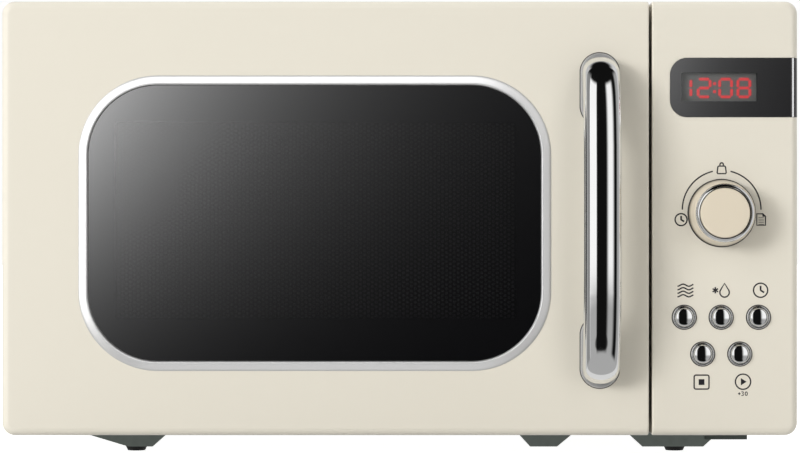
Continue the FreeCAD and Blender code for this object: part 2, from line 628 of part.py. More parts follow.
def control_panel():
    body = new_body("ControlPanel")
    face = plane_sketch(body, "XZ", FACE)
    rectangle(face, (PANEL_LEFT, SIDE), (BOTTOM, TOP))
    pad(body, face, f"{FRAME} - {FACE}", backwards=True)
    round_edges(body, "corner", lambda edge: lies_at(edge, "X", SIDE) and lies_at(edge, "Z", BOTTOM)
                or lies_at(edge, "X", SIDE) and lies_at(edge, "Z", TOP))
    round_edges(body, "edge_round",
                lambda edge: lies_at(edge, "Y", FACE) and not lies_at(edge, "X", PANEL_LEFT))
    round_edges(body, "gap_round",
                lambda edge: lies_at(edge, "Y", FACE) and lies_at(edge, "X", PANEL_LEFT))
    hollow = plane_sketch(body, "XZ", f"{FACE} + door_wall")
    rounded_rectangle(hollow, (f"{PANEL_LEFT} + door_wall", f"{SIDE} - door_wall"),
                      (f"{BOTTOM} + door_wall", f"{TOP} - door_wall"), 3.5)
    pocket(body, hollow, "door_depth + 10")
    openings = plane_sketch(body, "XZ", f"{FACE} - 1")
    circle(openings, "knob_middle", "knob_level", 5.2, "shaft")
    for name, (x, z) in PANEL_BUTTONS.items():
        circle(openings, x, z, "bezel_radius - 1.2", name)
    rounded_rectangle(openings, ("lens_left + 5", "lens_left + 54"), ("lens_low + 5", "lens_high - 5"), 2)
    pocket(body, openings, 5)
    recess = box(("lens_left - 0.1", f"{SIDE} + 1"), (f"{FACE} - 1", f"{FACE} + lens_thick"),
                 ("lens_low - 0.1", "lens_high + 0.1"))
    corner_blocks = []
    for zone, centre in ((("lens_low - 0.2", "lens_low + lens_corner"), "lens_low + lens_corner"),
                         (("lens_high - lens_corner", "lens_high + 0.2"), "lens_high - lens_corner")):
        block = box(("lens_left - 0.2", "lens_left + lens_corner"),
                    (f"{FACE} - 2", f"{FACE} + lens_thick + 1"), zone)
        round_part = cylinder("Y", ("lens_left + lens_corner", f"{FACE} - 3", centre), "lens_corner + 0.1", 8)
        corner_blocks.append(cut(block, round_part))
    side_recess = box((f"{SIDE} - lens_thick", f"{SIDE} + 1"), (f"{FACE} - 1", f"{FACE} + 15.1"),
                      ("lens_low - 0.1", "lens_high + 0.1"))
    subpart("control_panel", cut(body, fuse(cut(recess, *corner_blocks), side_recess)))


def display_lens():
    """The glossy window, which wraps round the panel's right edge."""
    body = new_body("DisplayLens")
    face = plane_sketch(body, "XZ", f"{FACE} - lens_proud")
    rounded_rectangle(face, ("lens_left", f"{SIDE} + lens_corner"), ("lens_low", "lens_high"), "lens_corner")
    pad(body, face, "15 + lens_proud", backwards=True)
    side = plane_sketch(body, "XZ", f"{FACE} - lens_proud - 1")
    rectangle(side, (f"{SIDE}", f"{SIDE} + 20"), ("lens_low - 1", "lens_high + 1"))
    pocket(body, side, 30)
    back = plane_sketch(body, "XZ", f"{FACE} + lens_thick")
    rectangle(back, ("lens_left - 1", f"{SIDE} - lens_thick"), ("lens_low - 1", "lens_high + 1"))
    pocket(body, back, 30)
    round_edges(body, "edge_round",
                lambda edge: lies_at(edge, "Y", f"{FACE} - lens_proud") and lies_at(edge, "X", SIDE))
    subpart("display_lens", body)


def panel_electronics():
    board = box((146, 213), (BOARD, f"{BOARD} + 1.6"), (40, 232))
    parts = [box((x, x + 14), (f"{BOARD} + 1.5", f"{BOARD} + 9"), (z, z + 12))
             for x, z in ((150, 60), (172, 96), (190, 150))]
    parts += [cylinder("Y", (x, f"{BOARD} + 1.5", z), 5, 9) for x, z in ((156, 120), (160, 190), (196, 200))]
    subpart("control_board", fuse(board, *parts))
    subpart("led_display", box((155.6, 197.3), (f"{FACE} + 3", BOARD), (198.6, 214.4)))
    case = fuse(box(("knob_middle - 6.5", "knob_middle + 6.5"), (f"{BOARD} - 7", BOARD),
                    ("knob_level - 6.5", "knob_level + 6.5")),
                cylinder("Y", ("knob_middle", f"{FACE} + 2", "knob_level"), 4.6, 9))
    bore = cylinder("Y", ("knob_middle", FACE, "knob_level"), "shaft_radius + shaft_play", 15)
    subpart("encoder", cut(case, bore))
    switches = [fuse(box((x - 3, x + 3), (f"{BOARD} - 3", BOARD), (z - 3, z + 3)),
                     cylinder("Y", (x, f"{BOARD} - 3.6", z), 1.7, 1)) for x, z in PANEL_BUTTONS.values()]
    subpart("tact_switches", group(*switches))


def knob():
    shaft = cylinder("Y", ("knob_middle", f"{FACE} - knob_depth + 6", "knob_level"),
                     "shaft_radius", "knob_depth + 6")
    subpart("encoder_shaft", shaft)
    axis = ("knob_middle", f"{FACE} - 0.5", "knob_level")
    side = doc.addObject("Part::Cone", "KnobSide")
    side.Placement = FreeCAD.Placement(Vector(), FreeCAD.Rotation(Vector(1, 0, 0), 90))
    bind(side, "Radius1", "knob_radius")
    bind(side, "Radius2", "knob_radius - 2")
    bind(side, "Height", "knob_depth - 2.5")
    place(side, *axis)
    cap = cylinder("Y", ("knob_middle", f"{FACE} - knob_depth + 0.3", "knob_level"), "knob_cap_radius", 4)
    bore = cylinder("Y", ("knob_middle", f"{FACE} - knob_depth + 6", "knob_level"), "shaft_radius", 20)
    hollow = tube("Y", ("knob_middle", f"{FACE} - knob_depth + 6", "knob_level"), "knob_radius - 3.5", 6, 20)
    subpart("knob_body", cut(fuse(side, cap), bore, hollow))
    ring = cut(cylinder("Y", ("knob_middle", f"{FACE} - knob_depth", "knob_level"), "knob_ring_radius", 2),
               cylinder("Y", ("knob_middle", f"{FACE} - knob_depth - 1", "knob_level"), "knob_cap_radius", 4))
    subpart("knob_ring", ring)


def push_buttons():
    bezels = []
    for name, (x, z) in PANEL_BUTTONS.items():
        flange = cone("Y", (x, f"{FACE} - 1.6", z), "bezel_radius - 1", "bezel_radius", 1.6)
        collar = cylinder("Y", (x, f"{FACE} - 1", z), "bezel_radius - 1.3", 5.5)
        bore = cylinder("Y", (x, f"{FACE} - 3", z), "button_radius + button_play", 10)
        bezels.append(cut(fuse(flange, collar), bore))
        stem = cylinder("Y", (x, f"{FACE} - 6", z), "button_radius", f"{BOARD} - {FACE} - 5.5 + 6")
        dome = common(stem, ball((x, f"{FACE} + 4.2", z), 8))
        rod = cylinder("Y", (x, f"{FACE} + 3", z), 1.5, f"{BOARD} - {FACE} - 5.3 - 3")
        head = common(dome, box((x - 6, x + 6), (f"{FACE} - 6", f"{FACE} + 5"), (z - 6, z + 6)))
        subpart(name, fuse(head, rod))
    subpart("button_bezels", group(*bezels))


# --- Door --------------------------------------------------------------------------------

def door_frame():
    body = new_body("DoorFrame")
    face = plane_sketch(body, "XZ", FACE)
    rectangle(face, (f"-{SIDE}", DOOR_RIGHT), (BOTTOM, TOP))
    pad(body, face, "door_depth", backwards=True)
    round_edges(body, "corner", lambda edge: lies_at(edge, "X", f"-{SIDE}")
                and (lies_at(edge, "Z", BOTTOM) or lies_at(edge, "Z", TOP)))
    round_edges(body, "edge_round",
                lambda edge: lies_at(edge, "Y", FACE) and not lies_at(edge, "X", DOOR_RIGHT))
    round_edges(body, "gap_round",
                lambda edge: lies_at(edge, "Y", FACE) and lies_at(edge, "X", DOOR_RIGHT))
    hollow = plane_sketch(body, "XZ", f"{FACE} + door_wall")
    rounded_rectangle(hollow, (f"door_wall - {SIDE}", f"{DOOR_RIGHT} - door_wall"),
                      (f"{BOTTOM} + door_wall", f"{TOP} - door_wall"), 3.5)
    pocket(body, hollow, "door_depth")
    openings = plane_sketch(body, "XZ", f"{FACE} - 1")
    rounded_rectangle(openings, inner((TRIM_LEFT, TRIM_RIGHT), 2), inner((TRIM_LOW, TRIM_HIGH), 2),
                      "trim_corner - 2")
    for tag, level in zip(("low", "high"), HANDLE_SCREWS):
        circle(openings, "handle_middle", level, 2.3, tag)
    pocket(body, openings, "door_wall + 2")
    notches = [box((f"-{SIDE} - 1", f"3 - {SIDE}"), (f"{HINGE_Y} - 6", f"{DOOR_BACK} + 1"), zone)
               for zone in ((19.5, 26.5), (241.5, 248.5))]
    seats = [box((f"2 - {SIDE}", f"{HINGE_X} + 5"), (f"{HINGE_Y} - 5", f"{HINGE_Y} + 5"), zone)
             for zone in ((f"{BOTTOM} + 2", 21.6), (246.4, f"{TOP} - 2"))]
    bores = [cylinder("Z", (HINGE_X, HINGE_Y, low), "pin_radius", 9) for low in (17, 242)]
    skin = f"({FACE} + door_wall)"
    rib_places = (("latch_low - 14", "latch_low - 11"),
                  ("latch_low + latch_pitch + 33", "latch_low + latch_pitch + 36"))
    ribs = [box(("latch_middle - 5", f"{DOOR_RIGHT} - 1"), (f"{skin} - 0.5", f"{skin} + 16"), zone)
            for zone in rib_places]
    subpart("door_frame", cut(fuse(body, *seats, *ribs), *notches, *bores))


def door_glazing():
    body = new_body("WindowTrim")
    outline = plane_sketch(body, "XZ", f"{FACE} - trim_proud")
    rounded_rectangle(outline, (TRIM_LEFT, TRIM_RIGHT), (TRIM_LOW, TRIM_HIGH), "trim_corner")
    pad(body, outline, "trim_proud", backwards=True)
    lip = plane_sketch(body, "XZ", FACE)
    rounded_rectangle(lip, inner((TRIM_LEFT, TRIM_RIGHT), 2.1), inner((TRIM_LOW, TRIM_HIGH), 2.1),
                      "trim_corner - 2.1")
    pad(body, lip, 1.5, backwards=True)
    window = plane_sketch(body, "XZ", f"{FACE} - 3")
    rounded_rectangle(window, inner((TRIM_LEFT, TRIM_RIGHT), "trim_face"),
                      inner((TRIM_LOW, TRIM_HIGH), "trim_face"),
                      "trim_corner - trim_face")
    pocket(body, window, 10)
    round_edges(body, 0.8, lambda edge: lies_at(edge, "Y", f"{FACE} - trim_proud"))
    subpart("window_trim", body)
    glass = new_body("WindowGlass")
    pane = plane_sketch(glass, "XZ", f"{FACE} + 1.5")
    rounded_rectangle(pane, inner((TRIM_LEFT, TRIM_RIGHT), 2.5), inner((TRIM_LOW, TRIM_HIGH), 2.5),
                      "trim_corner - 2.5")
    pad(glass, pane, "glass_thick", backwards=True)
    subpart("window_glass", glass)


def door_inside():
    left, right = f"({HINGE_X} + 8)", f"({CAVITY_RIGHT} + 12)"
    low, high = f"({CAVITY_FLOOR} - 12)", f"({CAVITY_TOP} + 10)"
    front, back = f"({FACE} + 7.5)", f"({FRAME} - 1.5)"
    outer = ((left, right), (low, high))
    recess = (inner(outer[0], 26), inner(outer[1], 26))
    plate = box(outer[0], (front, f"{front} + gauge"), outer[1])
    rim = cut(box(outer[0], (front, f"{back} - 4"), outer[1]),
              box(inner(outer[0], "gauge"), (f"{front} - 1", back), inner(outer[1], "gauge")))
    wall = cut(box(recess[0], (front, back), recess[1]),
               box(inner(recess[0], "gauge"), (f"{front} - 1", f"{back} + 1"), inner(recess[1], "gauge")))
    lip = cut(box(inner(outer[0], 18), (f"{back} - gauge", back), inner(outer[1], 18)),
              box(inner(recess[0], 0.5), (f"{back} - 3", f"{back} + 1"), inner(recess[1], 0.5)))
    subpart("door_panel", fuse(plate, rim, wall, lip))
    cover = cut(box(outer[0], (f"{back} - 3", f"{back} - 1.2"), outer[1]),
                box(inner(recess[0], "-0.2"), (f"{back} - 5", f"{back} + 1"), inner(recess[1], "-0.2")))
    subpart("choke_cover", cover)
    film = box(inner(recess[0], 1.2), (f"{front} + gauge", f"{front} + gauge + 0.4"), inner(recess[1], 1.2))
    subpart("door_film", film)


def handle():
    """A bow handle, its two long bases and the screws that hold it from inside the door."""
    body = new_body("Handle")
    arch = plane_sketch(body, "YZ", "handle_middle - handle_width / 2")
    front = f"({FACE} - handle_reach)"
    seat = f"({FACE} - base_thick)"
    low, high = "(handle_low + 1)", f"({HANDLE_HIGH} - 1)"
    foot = "(2 * base_radius)"
    polygon(arch, [(seat, low), (f"{FACE} - 15", f"{low} + 2.5"), (f"{front} + 4", f"{low} + 26"),
                   (front, f"{low} + 66"), (front, f"{high} - 66"), (f"{front} + 4", f"{high} - 26"),
                   (f"{FACE} - 15", f"{high} - 2.5"), (seat, high), (seat, f"{high} - {foot}"),
                   (f"{FACE} - 9", f"{high} - {foot} - 2"), (f"{front} + handle_thick + 3", f"{high} - 41"),
                   (f"{front} + handle_thick", f"{high} - 74"), (f"{front} + handle_thick", f"{low} + 74"),
                   (f"{front} + handle_thick + 3", f"{low} + 41"), (f"{FACE} - 9", f"{low} + {foot} + 2"),
                   (seat, f"{low} + {foot}")])
    pad(body, arch, "handle_width")
    round_edges(body, "handle_round", lambda edge: spans(edge, "X") < 1e-4)
    screw_holes = [cylinder("Y", ("handle_middle", f"{FACE} - 10", level), 2, 12) for level in HANDLE_SCREWS]
    outline = new_body("HandleOutline")
    oval = plane_sketch(outline, "XZ", f"{front} - 1")
    sides = ("handle_middle - handle_width / 2", "handle_middle + handle_width / 2")
    rounded_rectangle(oval, sides, (low, high), "handle_width / 2 - 0.1")
    pad(outline, oval, "handle_reach", backwards=True)
    subpart("handle", cut(common(body, outline), *screw_holes))
    bases = []
    for tag, zone in (("Low", ("handle_low", "handle_low + base_length")),
                      ("High", (f"{HANDLE_HIGH} - base_length", HANDLE_HIGH))):
        base = new_body(f"HandleBase{tag}")
        shape = plane_sketch(base, "XZ", seat)
        rounded_rectangle(shape, ("handle_middle - base_radius", "handle_middle + base_radius"), zone,
                          "base_radius - 0.05")
        pad(base, shape, "base_thick", backwards=True)
        bases.append(base)
    bases = [cut(base, cylinder("Y", ("handle_middle", f"{FACE} - 3", level), 2.2, 5))
             for base, level in zip(bases, HANDLE_SCREWS)]
    subpart("handle_bases", group(*bases))
    screws = [fuse(cylinder("Y", ("handle_middle", f"{FACE} - 9", level), 2, "9 + door_wall"),
                   cylinder("Y", ("handle_middle", f"{FACE} + door_wall", level), 4, 2.6))
              for level in HANDLE_SCREWS]
    subpart("handle_screws", group(*screws))


def hinges():
    tabs = []
    for low, flange in ((22, (24, 44)), (244, (226, 244))):
        tab = cut(box((f"{HINGE_X} - 4", f"{HINGE_X} + 6"), (f"{HINGE_Y} - 4", f"{FRAME_BACK} + 1.5"),
                      (low, low + 2)),
                  cylinder("Z", (HINGE_X, HINGE_Y, low - 1), "pin_radius + pin_play", 4))
        plate = box((f"{HINGE_X} - 4", f"{HINGE_X} + 12"), (FRAME_BACK, f"{FRAME_BACK} + 1.5"), flange)
        tabs.append(fuse(tab, plate))
    subpart("hinge_brackets", group(*tabs))
    pins = [cylinder("Z", (HINGE_X, HINGE_Y, low), "pin_radius", 9) for low in (17, 242)]
    subpart("hinge_pins", group(*pins))


def latch():
    x = ("latch_middle - latch_arm / 2", "latch_middle + latch_arm / 2")
    bar = box(x, (f"{FACE} + 5", f"{FACE} + 12"), ("latch_low - 8", "latch_low + latch_pitch + 16"))
    hooks = []
    for step in (0, 1):
        low = f"(latch_low + {step} * latch_pitch)"
        hooks.append(box(x, (f"{FACE} + 11", f"{FRAME_BACK} + 12"), (low, f"{low} + 8")))
        hooks.append(box(x, (f"{FRAME_BACK} + 1.5", f"{FRAME_BACK} + 9"), (f"{low} - 3", f"{low} + 1")))
    subpart("latch_hook", fuse(bar, *hooks))
    helix = doc.addObject("Part::Helix", "SpringPath")
    helix.Pitch = 2.6
    helix.Height = 10.4
    helix.Radius = 2.4
    place(helix, "latch_middle", f"{FACE} + 8.5", "latch_low + latch_pitch + 21.5")
    wire = doc.addObject("Part::Circle", "SpringWire")
    wire.Radius = 0.45
    wire.Placement = FreeCAD.Placement(Vector(), FreeCAD.Rotation(Vector(1, 0, 0), 90))
    place(wire, "latch_middle + 2.4", f"{FACE} + 8.5", "latch_low + latch_pitch + 21.5")
    spring = doc.addObject("Part::Sweep", "Spring")
    spring.Sections = [wire]
    spring.Spine = (helix, ["Edge1"])
    spring.Solid = True
    spring.Frenet = True
    subpart("latch_spring", spring)


def check_and_write():
    doc.recompute()
    for thing in doc.Objects:
        if "Invalid" in thing.State or "Error" in thing.State:
            raise RuntimeError(f"{thing.Name} ({thing.Label}) did not compute")
    os.makedirs("parts", exist_ok=True)
    for thing in subparts:
        shape = thing.Shape
        if shape.isNull() or not shape.isValid() or shape.Volume <= 0:
            raise RuntimeError(f"{thing.Label} has no valid shape")
        shape.exportStep(f"parts/{thing.Label}.step")
        print(f"{thing.Label:22s} {len(shape.Solids):2d} solid(s) {shape.Volume:12.1f} mm3")
    print(len(subparts), "files")


fill_sheet()
for make in (base_plate, rubber_feet, outer_cover, cover_screws, rear_panel, cord_inlet, front_frame, cavity,
             waveguide, magnetron, transformer, high_voltage, fan, oven_lamp, latch_board, filter_board,
             turntable, glass_tray, control_panel, display_lens, panel_electronics, knob, push_buttons,
             door_frame, door_glazing, door_inside, handle, hinges, latch):
    make()
check_and_write()
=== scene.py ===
"""The looks of a countertop microwave oven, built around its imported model.  Sizes are in metres.

The front faces -Y, the control panel is at +X and the feet stand on Z = 0.
"""
import json
import math

import bpy
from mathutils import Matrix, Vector


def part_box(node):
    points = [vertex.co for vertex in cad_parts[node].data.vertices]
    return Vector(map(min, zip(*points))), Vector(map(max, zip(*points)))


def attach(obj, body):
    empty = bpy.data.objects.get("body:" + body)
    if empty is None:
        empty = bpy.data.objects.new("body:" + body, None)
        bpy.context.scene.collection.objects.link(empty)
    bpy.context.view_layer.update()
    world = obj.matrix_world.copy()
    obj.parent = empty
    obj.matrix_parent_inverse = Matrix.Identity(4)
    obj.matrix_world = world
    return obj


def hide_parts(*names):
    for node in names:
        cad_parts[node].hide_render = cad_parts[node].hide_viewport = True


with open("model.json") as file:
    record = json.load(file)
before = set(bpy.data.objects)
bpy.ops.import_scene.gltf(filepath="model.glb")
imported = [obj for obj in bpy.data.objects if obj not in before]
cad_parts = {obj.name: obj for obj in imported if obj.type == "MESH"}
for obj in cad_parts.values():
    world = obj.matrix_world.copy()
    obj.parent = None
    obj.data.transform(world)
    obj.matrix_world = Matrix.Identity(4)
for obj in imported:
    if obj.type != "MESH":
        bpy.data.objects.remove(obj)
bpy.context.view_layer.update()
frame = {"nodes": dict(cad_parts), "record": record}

NODES = frame["nodes"]
BODY_OF = {node: body for body, nodes in frame["record"]["behaviour"]["bodies"].items() for node in nodes}
MM = 0.001


def centre_of(node):
    low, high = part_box(node)
    return (low + high) / 2


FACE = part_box("door_frame")[0].y
trim_low, trim_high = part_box("window_trim")
glass_low, glass_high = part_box("window_glass")
led_low, led_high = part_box("led_display")
bar_low, bar_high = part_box("handle")
bar_centre = centre_of("handle")
knob_centre = centre_of("knob_body")
SCREEN_LEFT, SCREEN_RIGHT = glass_low.x + 17.7 * MM, glass_high.x - 16.6 * MM
SCREEN_LOW, SCREEN_HIGH = glass_low.z + 26.2 * MM, glass_high.z - 23.2 * MM
BUTTONS = ("button_defrost", "button_weight", "button_clock", "button_stop", "button_start")
GLASS_IOR = 1.5


# --- Shader maths ------------------------------------------------------------------------

class Value:
    """A shader socket that can be used in a sum."""

    def __init__(self, finish, socket):
        self.finish = finish
        self.socket = socket

    def sum(self, operation, other, flipped=False):
        return self.finish.maths(operation, *((other, self) if flipped else (self, other)))

    def __add__(self, other):
        return self.sum("ADD", other)

    def __sub__(self, other):
        return self.sum("SUBTRACT", other)

    def __mul__(self, other):
        return self.sum("MULTIPLY", other)

    def __truediv__(self, other):
        return self.sum("DIVIDE", other)

    def __rsub__(self, other):
        return self.sum("SUBTRACT", other, flipped=True)

    def __lt__(self, other):
        return self.sum("LESS_THAN", other)

    def __gt__(self, other):
        return self.sum("GREATER_THAN", other)

    __radd__ = __add__
    __rmul__ = __mul__


class Finish:
    """One node tree, for a material or for the studio round the oven."""

    def __init__(self, name, world=False):
        self.holder = (bpy.data.worlds if world else bpy.data.materials).new(name)
        self.holder.use_nodes = True
        self.tree = self.holder.node_tree
        self.tree.nodes.clear()

    def node(self, kind, settings=None, inputs=None, output=0):
        """Add a node: its settings first, then its sockets' values or links."""
        made = self.tree.nodes.new(kind)
        for key, setting in (settings or {}).items():
            setattr(made, key, setting)
        for key, given in (inputs or {}).items():
            if isinstance(given, Value):
                self.tree.links.new(given.socket, made.inputs[key])
            else:
                made.inputs[key].default_value = given
        return Value(self, made.outputs[output]) if len(made.outputs) else made

    def maths(self, operation, *terms):
        return self.node("ShaderNodeMath", {"operation": operation}, dict(enumerate(terms)))

    def place(self):
        """The piece's own coordinates, in metres."""
        return self.node("ShaderNodeTexCoord", output="Object")

    def axis(self, name):
        return self.node("ShaderNodeSeparateXYZ", None, {0: self.place()}, output=name)

    def noise(self, scale, detail=3.0, rough=0.5, stretch=(1, 1, 1)):
        place = self.node("ShaderNodeMapping", None, {"Vector": self.place(), "Scale": stretch})
        return self.node("ShaderNodeTexNoise", None,
                         {"Vector": place, "Scale": scale, "Detail": detail, "Roughness": rough})

    def cells(self, scale):
        return self.node("ShaderNodeTexVoronoi", None, {"Vector": self.place(), "Scale": scale})

    def bands(self, direction, scale, distortion):
        return self.node("ShaderNodeTexWave", {"wave_type": "BANDS", "bands_direction": direction},
                         {"Vector": self.place(), "Scale": scale, "Distortion": distortion})

    def between(self, amount, low, high):
        """Map 0..1 to a range of numbers."""
        return amount * (high - low) + low

    def smooth(self, amount, start, end):
        return self.node("ShaderNodeMapRange", {"interpolation_type": "SMOOTHSTEP"},
                         {"Value": amount, "From Min": start, "From Max": end})

    def mix(self, factor, first, second):
        """Blend two colours; a Mix node has them at sockets 6 and 7 and their blend at output 2."""
        pair = [(*shade, 1) if isinstance(shade, tuple) else shade for shade in (first, second)]
        sockets = {0: factor, 6: pair[0], 7: pair[1]}
        return self.node("ShaderNodeMix", {"data_type": "RGBA"}, sockets, output=2)

    def bump(self, height, distance, strength=1.0):
        return self.node("ShaderNodeBump", None,
                         {"Height": height, "Distance": distance, "Strength": strength})

    def surface(self, **sockets):
        """Finish with a Principled shader; names use underscores for spaces."""
        inputs = {}
        for key, given in sockets.items():
            wanted = key.replace("_", " ")
            inputs[wanted] = (*given, 1) if isinstance(given, tuple) and len(given) == 3 else given
        shader = self.node("ShaderNodeBsdfPrincipled", None, inputs)
        self.node("ShaderNodeOutputMaterial", None, {"Surface": shader})
        return self.holder


# --- Materials ---------------------------------------------------------------------------

CREAM = (0.727, 0.691, 0.602)
CREAM_WARM = (0.718, 0.679, 0.584)


def knob_moulding():
    """The knob's warmer cream, with painted shade darkening it to brown towards its foot."""
    f = Finish("knob_cream")
    # painted shade: over the 9 mm next to the door face the cream darkens to brown, standing in for the shade
    # round the knob's foot
    foot = f.smooth(f.axis("Y"), FACE - 9 * MM, FACE - 0.5 * MM)
    cap = f.mix(f.noise(30, 2), (0.69, 0.615, 0.49), (0.67, 0.595, 0.47))
    # the dark brown mixed in here is the painted shade at the knob's foot
    return f.surface(Base_Color=f.mix(foot, cap, (0.10, 0.075, 0.04)),
                     Roughness=f.between(f.noise(60, 2), 0.30, 0.36), Coat_Weight=0.3, Coat_Roughness=0.12,
                     Normal=f.bump(f.noise(500, 2), 0.01 * MM, 0.5))


def cream_moulding():
    """Glossy cream plastic with the faintest of ripples."""
    f = Finish("cream_moulding")
    cloud = f.noise(5, 2)
    ripple = f.noise(350, 1)
    return f.surface(Base_Color=f.mix(cloud, CREAM, CREAM_WARM),
                     Roughness=f.between(f.noise(40, 2), 0.26, 0.32), Coat_Weight=0.3, Coat_Roughness=0.12,
                     Normal=f.bump(ripple, 0.008 * MM, 0.5))


def cream_paint():
    """Stoved paint on steel: orange peel and a slightly satin gloss."""
    f = Finish("cream_paint")
    peel = f.noise(600, 2, 0.45)
    cloud = f.noise(5, 2)
    return f.surface(Base_Color=f.mix(cloud, CREAM, CREAM_WARM),
                     Roughness=f.between(f.noise(90, 3), 0.30, 0.38), Coat_Weight=0.2, Coat_Roughness=0.15,
                     Normal=f.bump(peel, 0.02 * MM, 0.6))


def chrome():
    """Bright plate with hairline polish marks."""
    f = Finish("bright_chrome")
    hairs = f.noise(900, 3, 0.6, (1, 1, 0.08))
    haze = f.noise(35, 4)
    return f.surface(Base_Color=f.mix(haze, (0.90, 0.91, 0.92), (0.84, 0.85, 0.86)), Metallic=1.0,
                     Roughness=f.between(haze * hairs, 0.035, 0.10), Normal=f.bump(hairs, 0.002 * MM, 0.3))


def satin_silver():
    """The window ring's satin plate."""
    f = Finish("satin_silver")
    grain = f.noise(1200, 2, 0.6)
    return f.surface(Base_Color=f.mix(grain, (0.64, 0.64, 0.64), (0.59, 0.59, 0.59)), Metallic=0.6,
                     Roughness=f.between(f.noise(80, 3), 0.30, 0.36), Normal=f.bump(grain, 0.001 * MM, 0.4))


def smoked_glass():
    """The window: clear over the screen, printed black round it."""
    f = Finish("smoked_glass")
    x, z = f.axis("X"), f.axis("Z")
    inside = 1.0
    for value, edge, inwards in ((x, SCREEN_LEFT, MM), (x, SCREEN_RIGHT, -MM),
                                 (z, SCREEN_LOW, MM), (z, SCREEN_HIGH, -MM)):
        inside = f.smooth(value, edge - inwards, edge + inwards) * inside
    smears = f.smooth(f.noise(14, 6, 0.6), 0.5, 0.8)
    return f.surface(Base_Color=(0.003, 0.003, 0.0035), Roughness=f.between(smears, 0.015, 0.04),
                     IOR=GLASS_IOR, Coat_Weight=inside * 0.50, Coat_Roughness=0.02, Alpha=1.0 - inside * 0.42)


def perforated_steel():
    """Black enamelled sheet with a staggered field of round holes, each with a paler pressed lip."""
    f = Finish("perforated_steel")
    pitch, hole, lip_inside, lip_outside, margin = 2.5 * MM, 0.4 * MM, 0.55 * MM, 1.0 * MM, 0.5 * MM
    rise = pitch * math.sqrt(3)
    always_positive = 100
    x, z = f.axis("X"), f.axis("Z")
    nearest = None
    for shift in (0.0, 0.5):
        across = f.maths("FRACT", x / rise + (always_positive + shift)) - 0.5
        up = f.maths("FRACT", z / pitch + (always_positive + shift)) - 0.5
        reach = across * across * (rise * rise) + up * up * (pitch * pitch)
        nearest = reach if nearest is None else f.maths("MINIMUM", nearest, reach)
    inside = ((x > SCREEN_LEFT - margin) * (x < SCREEN_RIGHT + margin)
              * (z > SCREEN_LOW - margin) * (z < SCREEN_HIGH + margin))
    drilled = (nearest < hole ** 2) * inside
    lip = (1.0 - f.smooth(nearest, lip_inside ** 2, lip_outside ** 2)) * inside
    return f.surface(Base_Color=f.mix(lip, (0.006, 0.006, 0.007), (0.16, 0.16, 0.165)),
                     Roughness=f.between(f.noise(500, 3), 0.35, 0.5), Alpha=1.0 - drilled)


def lens_gloss():
    """Black gloss with a smoked window over the display."""
    f = Finish("lens_gloss")
    x, z = f.axis("X"), f.axis("Z")
    inside = (x > led_low.x) * (x < led_high.x) * (z > led_low.z) * (z < led_high.z)
    return f.surface(Base_Color=f.mix(f.noise(30, 3), (0.010, 0.010, 0.011), (0.014, 0.014, 0.015)),
                     Roughness=f.between(f.noise(60, 4), 0.03, 0.07), IOR=GLASS_IOR, Coat_Weight=0.5,
                     Coat_Roughness=0.03, Alpha=1.0 - inside * 0.72)


def display_body():
    """The display's pale grey case."""
    f = Finish("display_body")
    return f.surface(Base_Color=f.mix(f.noise(300, 2), (0.34, 0.36, 0.35), (0.38, 0.40, 0.39)),
                     Roughness=f.between(f.noise(900, 2), 0.5, 0.7))


def red_light():
    """The lit figures."""
    f = Finish("red_light")
    return f.surface(Base_Color=(0.4, 0.02, 0.02), Roughness=0.4, Emission_Strength=1.0,
                     Emission_Color=f.mix(f.noise(500, 2), (1.0, 0.10, 0.11), (0.9, 0.07, 0.08)))


def panel_ink():
    """Black ink printed on the panel."""
    f = Finish("panel_ink")
    return f.surface(Base_Color=f.mix(f.noise(2500, 2), (0.008, 0.007, 0.011), (0.014, 0.013, 0.018)),
                     Roughness=0.55)


def plated_sheet(name, shade, rough=0.38):
    """Zinc-plated sheet with spangle and rolling marks."""
    f = Finish(name)
    rolled = f.noise(300, 3, 0.6, (1, 0.05, 1))
    tone = f.smooth(f.cells(140) * 0.6 + rolled * 0.6, 0.2, 0.9)
    darker = tuple(part * 0.82 for part in shade)
    return f.surface(Base_Color=f.mix(tone, darker, shade), Metallic=0.85,
                     Roughness=f.between(tone, rough - 0.06, rough + 0.1),
                     Normal=f.bump(rolled, 0.01 * MM, 0.4))


def plastic(name, shade, rough=0.45, grain=1100):
    """Moulded plastic with a spark-eroded grain."""
    f = Finish(name)
    texture = f.noise(grain, 3, 0.6)
    lighter = tuple(part * 1.35 + 0.004 for part in shade)
    return f.surface(Base_Color=f.mix(f.noise(25, 4), shade, lighter),
                     Roughness=f.between(texture, rough - 0.08, rough + 0.1),
                     Normal=f.bump(texture, 0.03 * MM, 0.5))


def enamel():
    """Grey oven enamel with a fine speckle."""
    f = Finish("oven_enamel")
    speck = f.smooth(f.cells(900), 0.05, 0.28)
    cloud = f.noise(12, 3)
    pale = f.mix(cloud, (0.60, 0.60, 0.59), (0.575, 0.575, 0.57))
    return f.surface(Base_Color=f.mix(speck, (0.30, 0.30, 0.31), pale), Coat_Weight=0.2,
                     Roughness=f.between(cloud, 0.22, 0.34), Normal=f.bump(f.noise(500, 2), 0.03 * MM, 0.5))


def mica():
    """A sheet of pressed mica flakes."""
    f = Finish("mica_sheet")
    flakes = f.cells(220)
    return f.surface(Base_Color=f.mix(f.smooth(flakes, 0.1, 0.7), (0.42, 0.36, 0.28), (0.62, 0.57, 0.48)),
                     Roughness=f.between(flakes, 0.35, 0.6), Normal=f.bump(flakes, 0.05 * MM, 0.5))


def metal(name, shade, rough, grain=500, stretch=(1, 1, 1)):
    """Bare or plated metal with fine marks."""
    f = Finish(name)
    marks = f.noise(grain, 4, 0.6, stretch)
    darker = tuple(part * 0.85 for part in shade)
    return f.surface(Base_Color=f.mix(marks, darker, shade), Metallic=1.0,
                     Roughness=f.between(marks, rough - 0.05, rough + 0.12),
                     Normal=f.bump(marks, 0.01 * MM, 0.5))


